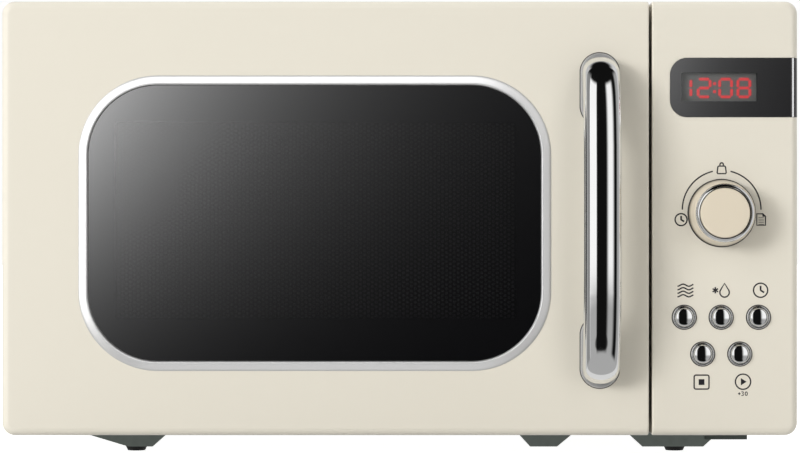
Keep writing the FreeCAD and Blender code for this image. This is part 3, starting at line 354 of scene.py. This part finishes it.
def laminations():
    """Stacked iron sheets, edge on."""
    f = Finish("iron_laminations")
    sheets = f.bands("Y", 160.0, 0.3)
    return f.surface(Base_Color=f.mix(sheets, (0.05, 0.05, 0.055), (0.16, 0.16, 0.17)), Metallic=0.6,
                     Roughness=f.between(sheets, 0.4, 0.6), Normal=f.bump(sheets, 0.1 * MM, 0.6))


def copper_wire():
    """Windings of enamelled wire, side by side."""
    f = Finish("copper_wire")
    turns = f.bands("Z", 150.0, 0.6)
    return f.surface(Base_Color=f.mix(turns, (0.30, 0.12, 0.05), (0.75, 0.38, 0.18)), Metallic=0.8,
                     Roughness=f.between(turns, 0.3, 0.5), Normal=f.bump(turns, 0.2 * MM, 0.7))


def circuit_board():
    """Green board with paler tracks."""
    f = Finish("circuit_board")
    black, white = (0, 0, 0, 1), (1, 1, 1, 1)
    tracks = f.node("ShaderNodeTexBrick", None,
                    {"Vector": f.place(), "Scale": 60.0, "Mortar Size": 0.04,
                     "Color1": black, "Color2": black, "Mortar": white})
    return f.surface(Base_Color=f.mix(tracks, (0.02, 0.12, 0.05), (0.06, 0.25, 0.11)),
                     Roughness=f.between(tracks, 0.3, 0.45))


def clear_glass():
    """Clear glass with the slightest green."""
    f = Finish("clear_glass")
    return f.surface(Base_Color=f.mix(f.noise(20, 2), (0.93, 0.98, 0.97), (0.90, 0.97, 0.95)),
                     Roughness=0.02, Transmission_Weight=0.9, IOR=GLASS_IOR)


def thin_film():
    """The door's clear dark film."""
    f = Finish("thin_film")
    return f.surface(Base_Color=(0.05, 0.05, 0.05), Roughness=f.between(f.noise(30, 3), 0.08, 0.16),
                     Alpha=0.25)


FINISHES = {
    "cream_paint": (cream_paint(), ["outer_cover"]),
    "cream_moulding": (cream_moulding(), ["door_frame", "control_panel"]),
    "knob_cream": (knob_moulding(), ["knob_body"]),
    "chrome": (chrome(), ["handle", "handle_bases", "knob_ring", "button_bezels", *BUTTONS]),
    "silver": (satin_silver(), ["window_trim"]),
    "smoked_glass": (smoked_glass(), ["window_glass"]),
    "screen": (perforated_steel(), ["door_panel"]),
    "lens": (lens_gloss(), ["display_lens"]),
    "display": (display_body(), ["led_display"]),
    "zinc": (plated_sheet("zinc_sheet", (0.50, 0.51, 0.50)), ["rear_panel", "waveguide", "hinge_brackets"]),
    "base": (plated_sheet("base_sheet", (0.25, 0.285, 0.262), 0.42), ["base_plate"]),
    "rubber": (plastic("black_rubber", (0.012, 0.012, 0.012), 0.7, 700), ["rubber_feet"]),
    "steel": (metal("plated_steel", (0.62, 0.62, 0.62), 0.3),
              ["cover_screws", "handle_screws", "hinge_pins", "encoder_shaft", "latch_spring"]),
    "black": (plastic("black_moulding", (0.018, 0.018, 0.019)),
              ["cord_inlet", "fan_shroud", "latch_board", "interlock_switches", "choke_cover", "latch_hook",
               "fan_blade"]),
    "cavity_black": (plastic("turntable_moulding", (0.02, 0.02, 0.022), 0.4),
                     ["roller_1", "roller_2", "roller_3", "roller_ring", "turntable_coupler"]),
    "enamel": (enamel(), ["front_frame", "cavity_wrap", "cavity_floor", "cavity_ceiling"]),
    "mica": (mica(), ["waveguide_cover"]),
    "aluminium": (metal("mill_aluminium", (0.78, 0.78, 0.79), 0.32, 600, (1, 1, 0.1)),
                  ["magnetron", "thermal_cutout", "capacitor", "encoder", "fan_motor", "turntable_motor"]),
    "iron": (laminations(), ["transformer_core"]),
    "copper": (copper_wire(), ["transformer_windings"]),
    "dark": (plastic("dark_parts", (0.015, 0.015, 0.015)), ["hv_diode", "tact_switches"]),
    "lamp": (clear_glass(), ["oven_lamp", "glass_tray"]),
    "board": (circuit_board(), ["filter_board", "control_board"]),
    "film": (thin_film(), ["door_film"]),
    "ink": (panel_ink(), []),
    "red": (red_light(), []),
}
FINISH_OF = {node: finish for finish, nodes in FINISHES.values() for node in nodes}
INK = FINISHES["ink"][0]


# --- Modelling helpers -------------------------------------------------------------------

def deselect():
    if bpy.context.object and bpy.context.object.mode != "OBJECT":
        bpy.ops.object.mode_set(mode="OBJECT")
    bpy.ops.object.select_all(action="DESELECT")


def select_only(piece):
    deselect()
    piece.select_set(True)
    bpy.context.view_layer.objects.active = piece


def settle(piece, angle=35):
    """Bring a finished piece's place into its mesh and shade it."""
    select_only(piece)
    bpy.ops.object.transform_apply(location=True, rotation=True, scale=True)
    bpy.ops.object.shade_smooth_by_angle(angle=math.radians(angle))
    return piece


def paint(piece, finish):
    piece.data.materials.clear()
    piece.data.materials.append(finish)


def carry(piece, body, finish):
    """A finished piece gets its body and its material."""
    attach(piece, body)
    paint(piece, finish)


def stand_for(piece, node):
    """A finished piece takes a CAD node's place, body and material."""
    carry(piece, BODY_OF[node], FINISH_OF[node])
    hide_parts(node)


def apply_modifier(piece, kind, **settings):
    select_only(piece)
    modifier = piece.modifiers.new(kind.lower(), kind)
    for key, setting in settings.items():
        setattr(modifier, key, setting)
    bpy.ops.object.modifier_apply(modifier=modifier.name)


def outward(piece):
    """Merge doubles and turn every face outwards."""
    select_only(piece)
    bpy.ops.object.mode_set(mode="EDIT")
    bpy.ops.mesh.select_all(action="SELECT")
    bpy.ops.mesh.remove_doubles(threshold=1e-6)
    bpy.ops.mesh.normals_make_consistent(inside=False)
    bpy.ops.object.mode_set(mode="OBJECT")


def smooth_copy(node, name):
    """A CAD node's exact shape, with its points merged and its curves shaded smooth."""
    deselect()
    piece = bpy.data.objects.new(name, NODES[node].data.copy())
    bpy.context.scene.collection.objects.link(piece)
    select_only(piece)
    bpy.ops.object.mode_set(mode="EDIT")
    bpy.ops.mesh.select_all(action="SELECT")
    bpy.ops.mesh.remove_doubles(threshold=1e-6)
    bpy.ops.mesh.tris_convert_to_quads(face_threshold=math.radians(2), shape_threshold=math.radians(60))
    bpy.ops.object.mode_set(mode="OBJECT")
    if piece.data.has_custom_normals:
        bpy.ops.mesh.customdata_custom_splitnormals_clear()
    settle(piece, 30)
    apply_modifier(piece, "WEIGHTED_NORMAL", keep_sharp=True)
    stand_for(piece, node)


def joined(parts, name):
    """Join several meshes into one piece."""
    deselect()
    for part in parts:
        part.select_set(True)
    bpy.context.view_layer.objects.active = parts[0]
    bpy.ops.object.join()
    piece = bpy.context.object
    piece.name = name
    return piece


def arc(centre, radius, start, end, steps):
    """Points along a circular stretch, its angles in degrees, both ends included."""
    turns = [math.radians(start + (end - start) * step / steps) for step in range(steps + 1)]
    return [(centre[0] + radius * math.cos(turn), centre[1] + radius * math.sin(turn)) for turn in turns]


FACING_FRONT = (math.pi / 2, 0, 0)


def turned(name, centre, profile, segments=96):
    """A round piece: a ring drawn out and resized along a profile of (radius, height)."""
    deselect()
    first_radius, first_height = profile[0]
    bpy.ops.mesh.primitive_circle_add(vertices=segments, radius=first_radius, fill_type="NGON",
                                      location=(0, 0, 0))
    piece = bpy.context.object
    piece.name = name
    bpy.ops.object.mode_set(mode="EDIT")
    bpy.ops.mesh.select_all(action="SELECT")
    bpy.ops.transform.translate(value=(0, 0, first_height))
    for (radius, height), (next_radius, next_height) in zip(profile, profile[1:]):
        bpy.ops.mesh.extrude_region_move(TRANSFORM_OT_translate={"value": (0, 0, next_height - height)})
        bpy.ops.transform.resize(value=(next_radius / radius, next_radius / radius, 1),
                                 center_override=(0, 0, next_height))
    bpy.ops.object.mode_set(mode="OBJECT")
    outward(piece)
    piece.rotation_euler = FACING_FRONT
    piece.location = centre
    return piece


def hollow_turned(name, centre, profile, segments=96):
    """A round ring whose closed section is the profile; the two round caps it starts with go."""
    ring = turned(name, centre, profile + profile[:1], segments)
    select_only(ring)
    bpy.ops.object.mode_set(mode="EDIT")
    bpy.ops.mesh.select_all(action="DESELECT")
    bpy.ops.object.mode_set(mode="OBJECT")
    for face in ring.data.polygons:
        face.select = len(face.vertices) > 4
    bpy.ops.object.mode_set(mode="EDIT")
    bpy.ops.mesh.delete(type="ONLY_FACE")
    bpy.ops.object.mode_set(mode="OBJECT")
    outward(ring)
    return settle(ring, 50)


def drawn_out(piece, above, extra):
    """Make a round piece a long round-ended one: all that lies above a height moves up."""
    for vertex in piece.data.vertices:
        if vertex.co.z > above:
            vertex.co.z += extra


def rounded_plate(name, low, high, radius, segments=24):
    """A flat face with round corners, standing at low.y and facing the front, in edit mode."""
    deselect()
    centre = (low + high) / 2
    bpy.ops.mesh.primitive_plane_add(size=1, location=(centre.x, low.y, centre.z), rotation=FACING_FRONT)
    piece = bpy.context.object
    piece.name = name
    piece.scale = (high.x - low.x, high.z - low.z, 1)
    bpy.ops.object.transform_apply(location=True, rotation=True, scale=True)
    bpy.ops.object.mode_set(mode="EDIT")
    bpy.ops.mesh.select_all(action="SELECT")
    bpy.ops.mesh.bevel(offset=radius, segments=segments, affect="VERTICES")
    return piece


# --- Case, door and window ---------------------------------------------------------------

def case_and_door():
    """The mouldings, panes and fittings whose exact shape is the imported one."""
    for node, name in (("outer_cover", "case_cover"), ("door_frame", "door_shell"),
                       ("control_panel", "panel_shell"), ("display_lens", "display_window"),
                       ("window_glass", "window_pane"), ("glass_tray", "turntable_plate"),
                       ("rubber_feet", "feet"), ("cover_screws", "case_screws"),
                       ("oven_lamp", "cavity_lamp"), ("cord_inlet", "cord_bush")):
        smooth_copy(node, name)


def window_ring():
    """The silver ring: from a low rolled edge its face slopes up to a crest, which drops to the glass."""
    low, high = Vector((trim_low.x, FACE, trim_low.z)), Vector((trim_high.x, FACE, trim_high.z))
    corner = 44 * MM
    ring = rounded_plate("window_ring", low, high, corner, 32)
    rolled_edge = [(0.04, 0.20), (0.12, 0.12)]
    slope = [(1.3, 0.37), (1.3, 0.34), (1.3, 0.31), (0.35, 0.04)]
    crest = [(0.25, -0.02), (0.40, -0.30), (0.10, -0.30)]
    drop_to_glass = [(0.12, -0.8), (0.10, -1.0), (0.05, -0.2)]
    steps = rolled_edge + slope + crest + drop_to_glass
    for inwards, out in steps:
        bpy.ops.mesh.inset(thickness=inwards * MM, depth=out * MM)
    bpy.ops.mesh.delete(type="FACE")
    bpy.ops.mesh.select_all(action="DESELECT")
    bpy.ops.mesh.select_non_manifold()
    bpy.ops.mesh.bridge_edge_loops()
    bpy.ops.object.mode_set(mode="OBJECT")
    outward(ring)
    settle(ring, 50)
    stand_for(ring, "window_trim")


# --- Handle ------------------------------------------------------------------------------

def handle_bar():
    """A bow handle: an oval bar with a fine lip along each side, from its two bases over the fingers."""
    around, along = 96, 160
    foot = 1.2 * MM
    half_length = (bar_high.z - bar_low.z) / 2 - foot
    reach = FACE - bar_low.y
    wide, thick, crown, end_round = 9.85 * MM, 12 * MM, 5.6 * MM, 10.5 * MM
    clear_of_door, end_curve = 0.79, 2.2
    lip_rise, lip_at, lip_reach = 0.05, -0.22, 0.14
    bpy.ops.mesh.primitive_grid_add(x_subdivisions=around, y_subdivisions=along, size=2)
    bar = bpy.context.object
    bar.name = "handle_bar"
    for vertex in bar.data.vertices:
        turn = math.pi * (vertex.co.x + 1)
        side, out = math.cos(turn), math.sin(turn)
        along_bar = math.sin(math.pi / 2 * vertex.co.y)
        far = min(1.0, abs(along_bar))
        from_end = half_length * (1 - far)
        front = reach * (1 - far ** 3) ** (1 / 3)
        lift = max(0.0, 1 - (far / clear_of_door) ** 2)
        back = min((reach - thick) * min(1.0, lift * 1.5) ** 0.75, 0.97 * front)
        taper = (1 - max(0.0, 1 - from_end / end_round) ** end_curve) ** (1 / end_curve)
        lip = 1 + lip_rise * max(0.0, 1 - ((out - lip_at) / lip_reach) ** 2)
        dome = min(crown, (front - back) / 2)
        if out < 0:
            side = math.copysign((1 - out ** 4) ** 0.25, side)
        height = front - dome + out * (dome if out > 0 else front - dome - back)
        vertex.co = (bar_centre.x + wide * taper * lip * side, FACE - height,
                     bar_centre.z + half_length * along_bar)
    outward(bar)
    settle(bar, 60)
    stand_for(bar, "handle")


def handle_pads():
    """The two long round-ended bases that the bar stands on, each ringed by a dark line painted as the shade
    in its seam with the door.
    """
    pad_low, pad_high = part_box("handle_bases")
    half, length, thick = (pad_high.x - pad_low.x) / 2, 40 * MM, FACE - pad_low.y
    edge_round = 0.9 * MM
    profile = [(half - 0.4 * MM, -0.5 * MM), (half - 0.35 * MM, 0), (half, 0),
               *arc((half - edge_round, thick - edge_round), edge_round, 0, 90, 8),
               (half - 2.2 * MM, thick), (half * 0.3, thick)]
    # painted shade: a thin black ring just outside each pad stands in for the shade in the seam between pad
    # and door
    shade_line_profile = [(half - MM, 0.02 * MM), (half - MM, 0.3 * MM), (half + 0.35 * MM, 0.3 * MM),
                    (half + 0.45 * MM, 0.02 * MM)]
    for number, low_z in enumerate((pad_low.z, pad_high.z - length), 1):
        centre = (bar_centre.x, FACE, low_z + half)
        above, extra = centre[2] + 0.01 * MM, length - 2 * half
        pad = settle(turned(f"handle_pad_{number}", centre, profile), 50)
        drawn_out(pad, above, extra)
        carry(pad, "door", FINISH_OF["window_trim"])
        # the painted shade line round the pad, in black ink
        shade_line = hollow_turned(f"handle_gasket_{number}", centre, shade_line_profile)
        drawn_out(shade_line, above, extra)
        carry(shade_line, "door", INK)
    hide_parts("handle_bases")


# --- Knob and buttons --------------------------------------------------------------------

def millimetres(*points):
    """A profile given in millimetres, in metres."""
    return [(radius * MM, height * MM) for radius, height in points]


def knob():
    """The cup, its chrome ring with a dark groove inside it, and a black ring under its foot, painted shade
    for the gap round it.
    """
    centre = (knob_centre.x, FACE, knob_centre.z)
    side = millimetres((13, 0.6), (17.9, 0.6), *arc((17.9, 1.1), 0.5, -80, 0, 4), (18.1, 4), (17.4, 10),
                       (16.75, 15), *arc((16.2, 15.7), 0.5, 10, 90, 4), (14.3, 16.2), (13.75, 16.25),
                       (13.65, 17.4), *arc((13.0, 17.6), 0.65, 0, 88, 5), (8, 18.25), (1, 18.3))
    stand_for(settle(turned("knob_cup", centre, side), 40), "knob_body")
    ring_profile = millimetres((15.9, 16.25), (16.05, 16.7), *arc((12.85, 15.0), 3.55, 30, 66, 12),
                               (14.2, 18.1), (14.2, 16.25))
    stand_for(hollow_turned("knob_chrome", centre, ring_profile), "knob_ring")
    groove_profile = millimetres((13.72, 16.3), (13.72, 17.1), (14.18, 17.1), (14.18, 16.3))
    carry(hollow_turned("knob_groove", centre, groove_profile), "knob", INK)
    # painted shade: a black ring reaching 0.5 mm past the cup's foot stands in for the shade in the gap
    # between knob and panel
    shade_ring_profile = millimetres((13, 0.02), (13, 0.55), (17.8, 0.55), (18.9, 0.08), (18.9, 0.02))
    carry(hollow_turned("knob_shadow_gap", centre, shade_ring_profile), "chassis",
          FINISH_OF["choke_cover"])


def push_buttons():
    """Domed caps, each in a chrome bezel with a dark outline."""
    cap_profile = millimetres((1.5, -8), (1.5, -4.9), (4.44, -4.9), (4.44, 1.35), (5.05, 1.35),
                              *arc((3.825, 1.5), 1.35, 0, 71.6, 8), *arc((0, -10.03), 13.5, 73, 89, 8))
    bezel_profile = millimetres((4.7, -3.8), (4.7, 0.08), (5.3, 0.08), (5.35, 0.75),
                                *arc((5.9, 0.5), 0.55, 140, 20, 8), (6.5, 0.1), (6.5, 0.02), (5.6, 0.0),
                                (5.6, -3.8))
    outline_profile = millimetres((6.3, 0.01), (6.3, 0.12), (6.95, 0.12), (6.95, 0.01))
    for name in BUTTONS:
        middle = centre_of(name)
        centre = (middle.x, FACE, middle.z)
        cap = settle(turned(name.replace("button", "press"), centre, cap_profile, 64), 50)
        stand_for(cap, name)
        bezel = hollow_turned(name.replace("button", "bezel"), centre, bezel_profile, 64)
        carry(bezel, "chassis", FINISH_OF["button_bezels"])
        outline = hollow_turned(name.replace("button", "outline"), centre, outline_profile, 64)
        carry(outline, "chassis", INK)
    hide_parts("button_bezels")


# --- Printed signs and display -----------------------------------------------------------

SIGN_LINE = 0.88    # millimetres, as every size in the signs and figures


def stroke(points, width=SIGN_LINE, closed=False):
    """A printed line through points (x, z) in millimetres, as a mesh object at Y = 0."""
    curve = bpy.data.curves.new("stroke", "CURVE")
    curve.dimensions = "3D"
    curve.bevel_depth = width / 2 * MM
    curve.bevel_resolution = 1
    curve.use_fill_caps = True
    spline = curve.splines.new("POLY")
    spline.points.add(len(points) - 1)
    for point, (x, z) in zip(spline.points, points):
        point.co = (x * MM, 0, z * MM, 1)
    spline.use_cyclic_u = closed
    line = bpy.data.objects.new("stroke", curve)
    bpy.context.scene.collection.objects.link(line)
    select_only(line)
    bpy.ops.object.convert(target="MESH")
    return bpy.context.object


def filled(points):
    """A flat printed shape."""
    deselect()
    bpy.ops.mesh.primitive_circle_add(vertices=len(points), radius=MM, fill_type="NGON",
                                      rotation=FACING_FRONT)
    shape = bpy.context.object
    bpy.ops.object.transform_apply(location=True, rotation=True, scale=True)
    for vertex, (x, z) in zip(shape.data.vertices, points):
        vertex.co = (x * MM, 0, z * MM)
    apply_modifier(shape, "SOLIDIFY", thickness=0.3 * MM, offset=0)
    return shape


def at(x, z, points):
    """Points given from a sign's own middle, moved to its place."""
    return [(x + across, z + up) for across, up in points]


def circle(x, z, radius):
    return stroke(arc((x, z), radius, 0, 360, 40)[:-1], closed=True)


def clock(x, z, radius):
    hands = at(x, z, [(0, radius * 0.62), (0, 0), (radius * 0.5, -radius * 0.32)])
    return [circle(x, z, radius), stroke(hands, SIGN_LINE * 1.15)]


def weight(x, z):
    """A kitchen weight with its handle."""
    body = [(-1.7, 1.15), (1.7, 1.15), (2.1, 0.7), (2.5, -2.5), (2.1, -3.0), (-2.1, -3.0), (-2.5, -2.5),
            (-2.1, 0.7)]
    return [stroke(at(x, z, body), closed=True), stroke(arc((x, z + 2.0), 0.95, -30, 210, 16))]


def menu(x, z):
    """A written sheet with a folded corner."""
    sheet = [(-2.4, -3.1), (2.4, -3.1), (2.4, 1.8), (0.9, 3.2), (-2.4, 3.2)]
    marks = [stroke(at(x, z, sheet), closed=True), filled(at(x, z, [(0.7, 3.3), (2.5, 1.6), (0.7, 1.6)]))]
    for row in range(5):
        marks.append(stroke(at(x, z + 1.2 - row * 0.95, [(-1.5, 0), (1.5, 0)]), 0.32))
    return marks


def waves(x, z):
    """Four rows of rising heat."""
    length, samples, turns = 8.8, 16, 1.4
    swell = [(-4.4 + length / samples * s, -0.6 * math.cos(s * 2 * math.pi / samples * turns))
             for s in range(samples + 1)]
    return [stroke(at(x, z + 2.8 - 1.95 * row, swell)) for row in range(4)]


def flake_and_drop(x, z):
    """A snowflake that thaws to a drop."""
    marks = []
    for angle in (90, 30, 150):
        away = Vector((math.cos(math.radians(angle)), math.sin(math.radians(angle)))) * 1.75
        marks.append(stroke(at(x - 3.2, z, [(-away.x, -away.y), (away.x, away.y)])))
    radius, height = 2.6, 7.6
    bowl = arc((x + 1.9, z - height / 2 + radius), radius, 155, 385, 24)
    return [*marks, stroke([*bowl, (x + 1.9, z + height / 2)], closed=True)]


def stop(x, z):
    """A round-cornered frame with a square in it."""
    ring = []
    for across, up, start in ((3.1, 2.85, 0), (-3.1, 2.85, 90), (-3.1, -2.85, 180), (3.1, -2.85, 270)):
        ring += arc((x + across, z + up), 1.0, start, start + 90, 6)
    square = [(-1.6, -1.6), (1.6, -1.6), (1.6, 1.6), (-1.6, 1.6)]
    return [stroke(ring, closed=True), filled(at(x, z, square))]


def play(x, z):
    """A ring with a triangle in it, over a small +30."""
    marks = [circle(x, z, 4.2), filled(at(x, z, [(-1.2, -2.0), (2.0, 0), (-1.2, 2.0)]))]
    plus = [[(-2.8, 0), (-1.4, 0)], [(-2.1, -0.7), (-2.1, 0.7)]]
    three = [(-0.9, 1.0), (0.1, 1.0), (0.3, 0.5), (-0.3, 0.05), (0.35, -0.45), (0.1, -1.0), (-0.9, -1.0)]
    nought = [(1.8 + 0.6 * math.cos(turn), math.sin(turn)) for turn in [math.pi / 8 * s for s in range(17)]]
    return marks + [stroke(at(x, z - 6.6, glyph), 0.55) for glyph in (*plus, three, nought)]


def printed_signs():
    """The icons and the arc round the knob, joined into one print on the panel's face."""
    knob_x, knob_z = knob_centre.x / MM, knob_centre.z / MM
    places = {name: centre_of(name) / MM for name in BUTTONS}
    above = places["button_defrost"].z + 14.9
    marks = [stroke(arc((knob_x, knob_z + 1.9), 21.7, start, end, 40))
             for start, end in ((180, 103), (0, 77))]
    marks += clock(knob_x - 22.4, knob_z - 3.6, 3.3)
    marks += weight(knob_x, knob_z + 24.8)
    marks += menu(knob_x + 21.8, knob_z - 3.6)
    marks += waves(places["button_defrost"].x + 0.7, above)
    marks += flake_and_drop(places["button_weight"].x, above)
    marks += clock(places["button_clock"].x + 1.2, above, 3.9)
    marks += stop(places["button_stop"].x - 0.6, places["button_stop"].z - 15.5)
    marks += play(places["button_start"].x + 1.8, places["button_start"].z - 15.3)
    prints = joined(marks, "panel_signs")
    prints.scale = (1, 0.12, 1)
    prints.location = (0, FACE - 0.01 * MM, 0)
    settle(prints, 40)
    carry(prints, "chassis", INK)


SEGMENTS = {"0": "abcdef", "1": "bc", "2": "abged", "8": "abcdefg"}


def digits():
    """Red seven-segment figures that read 12:08, on the display behind the lens."""
    pieces = []
    height, width, thick, gap, tip = 9.8, 6.6, 1.5, 0.85, 0.5
    half = height / 2
    base_z = centre_of("led_display").z / MM - half - 0.4
    start = led_low.x / MM
    places = {"1": start - 1.1, "2": start + 9.5, "0": start + 21.4, "8": start + 31.5}
    corners = {"a": ((0, height), (width, height)), "b": ((width, half), (width, height)),
               "c": ((width, 0), (width, half)), "d": ((0, 0), (width, 0)), "e": ((0, 0), (0, half)),
               "f": ((0, half), (0, height)), "g": ((0, half), (width, half))}
    for figure, left in places.items():
        for name in SEGMENTS[figure]:
            first, last = [Vector(corner) for corner in corners[name]]
            along = (last - first).normalized()
            across = Vector((-along.y, along.x)) * thick / 2
            first, last = first + along * gap, last - along * gap
            outline = [first - along * tip, first + across, last + across, last + along * tip,
                       last - across, first - across]
            pieces.append(filled(at(left, base_z, reversed(outline))))
    for up in (2.9, 7.3):
        dot = [(-0.8, 0.8), (0.8, 0.8), (0.8, -0.8), (-0.8, -0.8)]
        pieces.append(filled(at(start + 18.6, base_z + up, dot)))
    lit = joined(pieces, "display_figures")
    lit.location = (0, led_low.y - 0.2 * MM, 0)
    settle(lit)
    carry(lit, "chassis", FINISHES["red"][0])


# --- Studio ------------------------------------------------------------------------------

def pale_floor():
    """A floor that glows a little, brightest where the camera sees it."""
    finish = Finish("pale_floor")
    seen = finish.node("ShaderNodeLightPath", output="Is Camera Ray")
    shade = finish.mix(finish.noise(3, 2), (0.62, 0.62, 0.615), (0.60, 0.60, 0.595))
    finish.surface(Base_Color=shade, Roughness=0.8, Emission_Color=(1.0, 1.0, 0.99),
                   Emission_Strength=seen * 0.85 + 0.1)
    deselect()
    bpy.ops.mesh.primitive_plane_add(size=16, location=(0, 0, 0))
    floor = bpy.context.object
    floor.name = "floor"
    floor.visible_glossy = False
    paint(floor, finish.holder)


def surround():
    """Soft boxes, open sides and the ground, as the oven reflects them; the camera sees plain white.

    turn is the angle to the right of straight ahead, rise is the angle above the horizon, and over
    goes on past the top to the back.
    """
    world = Finish("studio_surround", world=True)
    direction = world.node("ShaderNodeTexCoord", output="Generated")
    x, y, z = [world.node("ShaderNodeSeparateXYZ", None, {0: direction}, output=name) for name in "XYZ"]
    turn = world.maths("ARCTAN2", x, 0.0 - y)
    rise = world.maths("ARCSINE", z)
    degrees = math.pi / 180

    def step(value, start, end):
        return world.smooth(value, start * degrees, end * degrees)

    def band(value, low, high, soft):
        return step(value, low - soft, low + soft) * (1.0 - step(value, high - soft, high + soft))

    behind = y > 0.0
    over = rise + behind * (math.pi - rise * 2.0)
    above_ground = step(rise, -44, -36)
    level = (step(rise, -14, -2) * 0.6 + 0.4) * (1.0 - step(over, 43, 50)) * above_ground
    left_box = band(turn, -61, -23, 2) * level * 1.05
    right_box = step(turn, 13, 25) * (1.0 - step(turn, 37, 52)) * level
    side_left = (1.0 - step(turn, -60, -55)) * 0.27
    side_right = step(turn, 62, 74) * 0.38
    dark_overhead = step(over, 43, 60) * (1.0 - step(over, 108, 124))
    open_sides = (side_left + side_right) * (1.0 - dark_overhead) * above_ground
    ground = step(rise, -36, -44) * 0.42
    up_behind = step(over, 108, 122) * 0.3
    spot_x, spot_z = (turn + 3 * degrees) / (26 * degrees), (rise + 32 * degrees) / (8 * degrees)
    dark_spot = 1.0 - world.smooth(spot_x * spot_x + spot_z * spot_z, 0.7, 1.3)
    glossy = world.node("ShaderNodeLightPath", output="Is Glossy Ray")
    for_matt = 2.2
    strength = (((left_box + right_box + open_sides + ground + up_behind) * (1.0 - dark_spot * 0.85) + 0.006)
                * (for_matt - glossy * (for_matt - 1.0)))
    shown = world.node("ShaderNodeLightPath", output="Is Camera Ray")
    lit = world.node("ShaderNodeBackground", None, {"Color": (1.0, 0.99, 0.975, 1), "Strength": strength})
    plain = world.node("ShaderNodeBackground", None, {"Color": (1.0, 1.0, 0.995, 1), "Strength": 1.0})
    both = world.node("ShaderNodeMixShader", None, {0: shown, 1: lit, 2: plain})
    world.node("ShaderNodeOutputWorld", None, {"Surface": both})
    bpy.context.scene.world = world.holder


def studio():
    pale_floor()
    surround()
    lamp("key_light", (-2.6, -2.6, 0.9), (0, 0, 0.14), 1.1, 66)
    lamp("top_light", (0.1, 0.2, 2.0), (0, 0, 0.1), 1.6, 12)
    edge_strip = lamp("edge_light", (1.24, -0.93, 0.2), (0.2, FACE, 0.15), 0.6, 14)
    edge_strip.visible_glossy = True
    edge_strip.visible_diffuse = False
    shine_only_on(edge_strip, "display_window")
    for name, place, power in (("trim_light_top", (-0.1, -2.1, 1.5), 13),
                               ("trim_light_left", (-1.65, -1.9, 0.2), 13),
                               ("trim_light_corner", (-1.25, -1.95, 1.1), 10),
                               ("trim_light_low", (0.0, -2.1, -1.1), 4)):
        glow = lamp(name, place, (-0.05, FACE, 0.13), 1.3, power)
        glow.visible_glossy = True
        shine_only_on(glow, "window_ring")
    reflection_card("window_card", "window_pane", (-0.66, 0.36), (-0.30, 0.56), (-0.293, 0.272), 0.130, 6.2)
    reflection_card("lens_card", "display_window", (0.30, 0.56), (0.18, 0.42), (0.33, 0.33), 0.06, 1.6)


def shine_only_on(light, receiver):
    """Keep a light's glow to the one piece it is there for."""
    lit = bpy.data.collections.new(light.name + "_receivers")
    lit.objects.link(bpy.data.objects[receiver])
    light.light_linking.receiver_collection = lit


def lamp(name, place, target, size, power):
    """A square lamp, which nothing mirrors until its visible_glossy is set."""
    light = bpy.data.lights.new(name, "AREA")
    light.size = size
    light.energy = power
    holder = bpy.data.objects.new(name, light)
    bpy.context.scene.collection.objects.link(holder)
    holder.location = place
    holder.rotation_euler = (Vector(target) - Vector(place)).to_track_quat("-Z", "Y").to_euler()
    holder.visible_glossy = False
    holder.visible_camera = False
    return holder


def reflection_card(name, receiver, across, up, brightest, fade, power):
    """A glowing sheet that only one pane of dark glass reflects: its sheen fades to the right and down."""
    f = Finish(name)
    fade_down, faster_down, most = 4.8, 12.0, 1.9
    below = brightest[1] - f.axis("Z")
    fall = (brightest[0] - f.axis("X")) / fade - below * fade_down - below * below * faster_down
    strength = f.maths("MINIMUM", f.maths("EXPONENT", fall), most) * power
    emitter = f.node("ShaderNodeEmission", None, {"Color": (1, 1, 1, 1), "Strength": strength})
    clear = f.node("ShaderNodeBsdfTransparent")
    both = f.node("ShaderNodeAddShader", None, {0: clear, 1: emitter})
    f.node("ShaderNodeOutputMaterial", None, {"Surface": both})
    deselect()
    in_front = -1.95
    centre = ((across[0] + across[1]) / 2, in_front, (up[0] + up[1]) / 2)
    bpy.ops.mesh.primitive_plane_add(size=1, location=centre, rotation=(-math.pi / 2, 0, 0))
    card = bpy.context.object
    card.name = name
    card.scale = (across[1] - across[0], up[1] - up[0], 1)
    bpy.ops.object.transform_apply(location=True, rotation=True, scale=True)
    paint(card, f.holder)
    card.visible_camera = False
    card.visible_diffuse = False
    card.visible_shadow = False
    shine_only_on(card, receiver)


def camera():
    """Straight in front of the door and about level with the oven's middle."""
    distance, side, height = 1.6, 0.0002, 0.1295
    data = bpy.data.cameras.new("camera")
    data.lens = 130.4
    data.sensor_width = 36
    holder = bpy.data.objects.new("camera", data)
    bpy.context.scene.collection.objects.link(holder)
    holder.location = (side, FACE - distance, height)
    holder.rotation_euler = (math.pi / 2, 0, 0)
    bpy.context.scene.camera = holder


# --- Making ------------------------------------------------------------------------------

camera()
bpy.context.scene.view_settings.view_transform = "Standard"
for node, finish in FINISH_OF.items():
    paint(NODES[node], finish)
case_and_door()
window_ring()
handle_bar()
handle_pads()
knob()
push_buttons()
printed_signs()
digits()
studio()
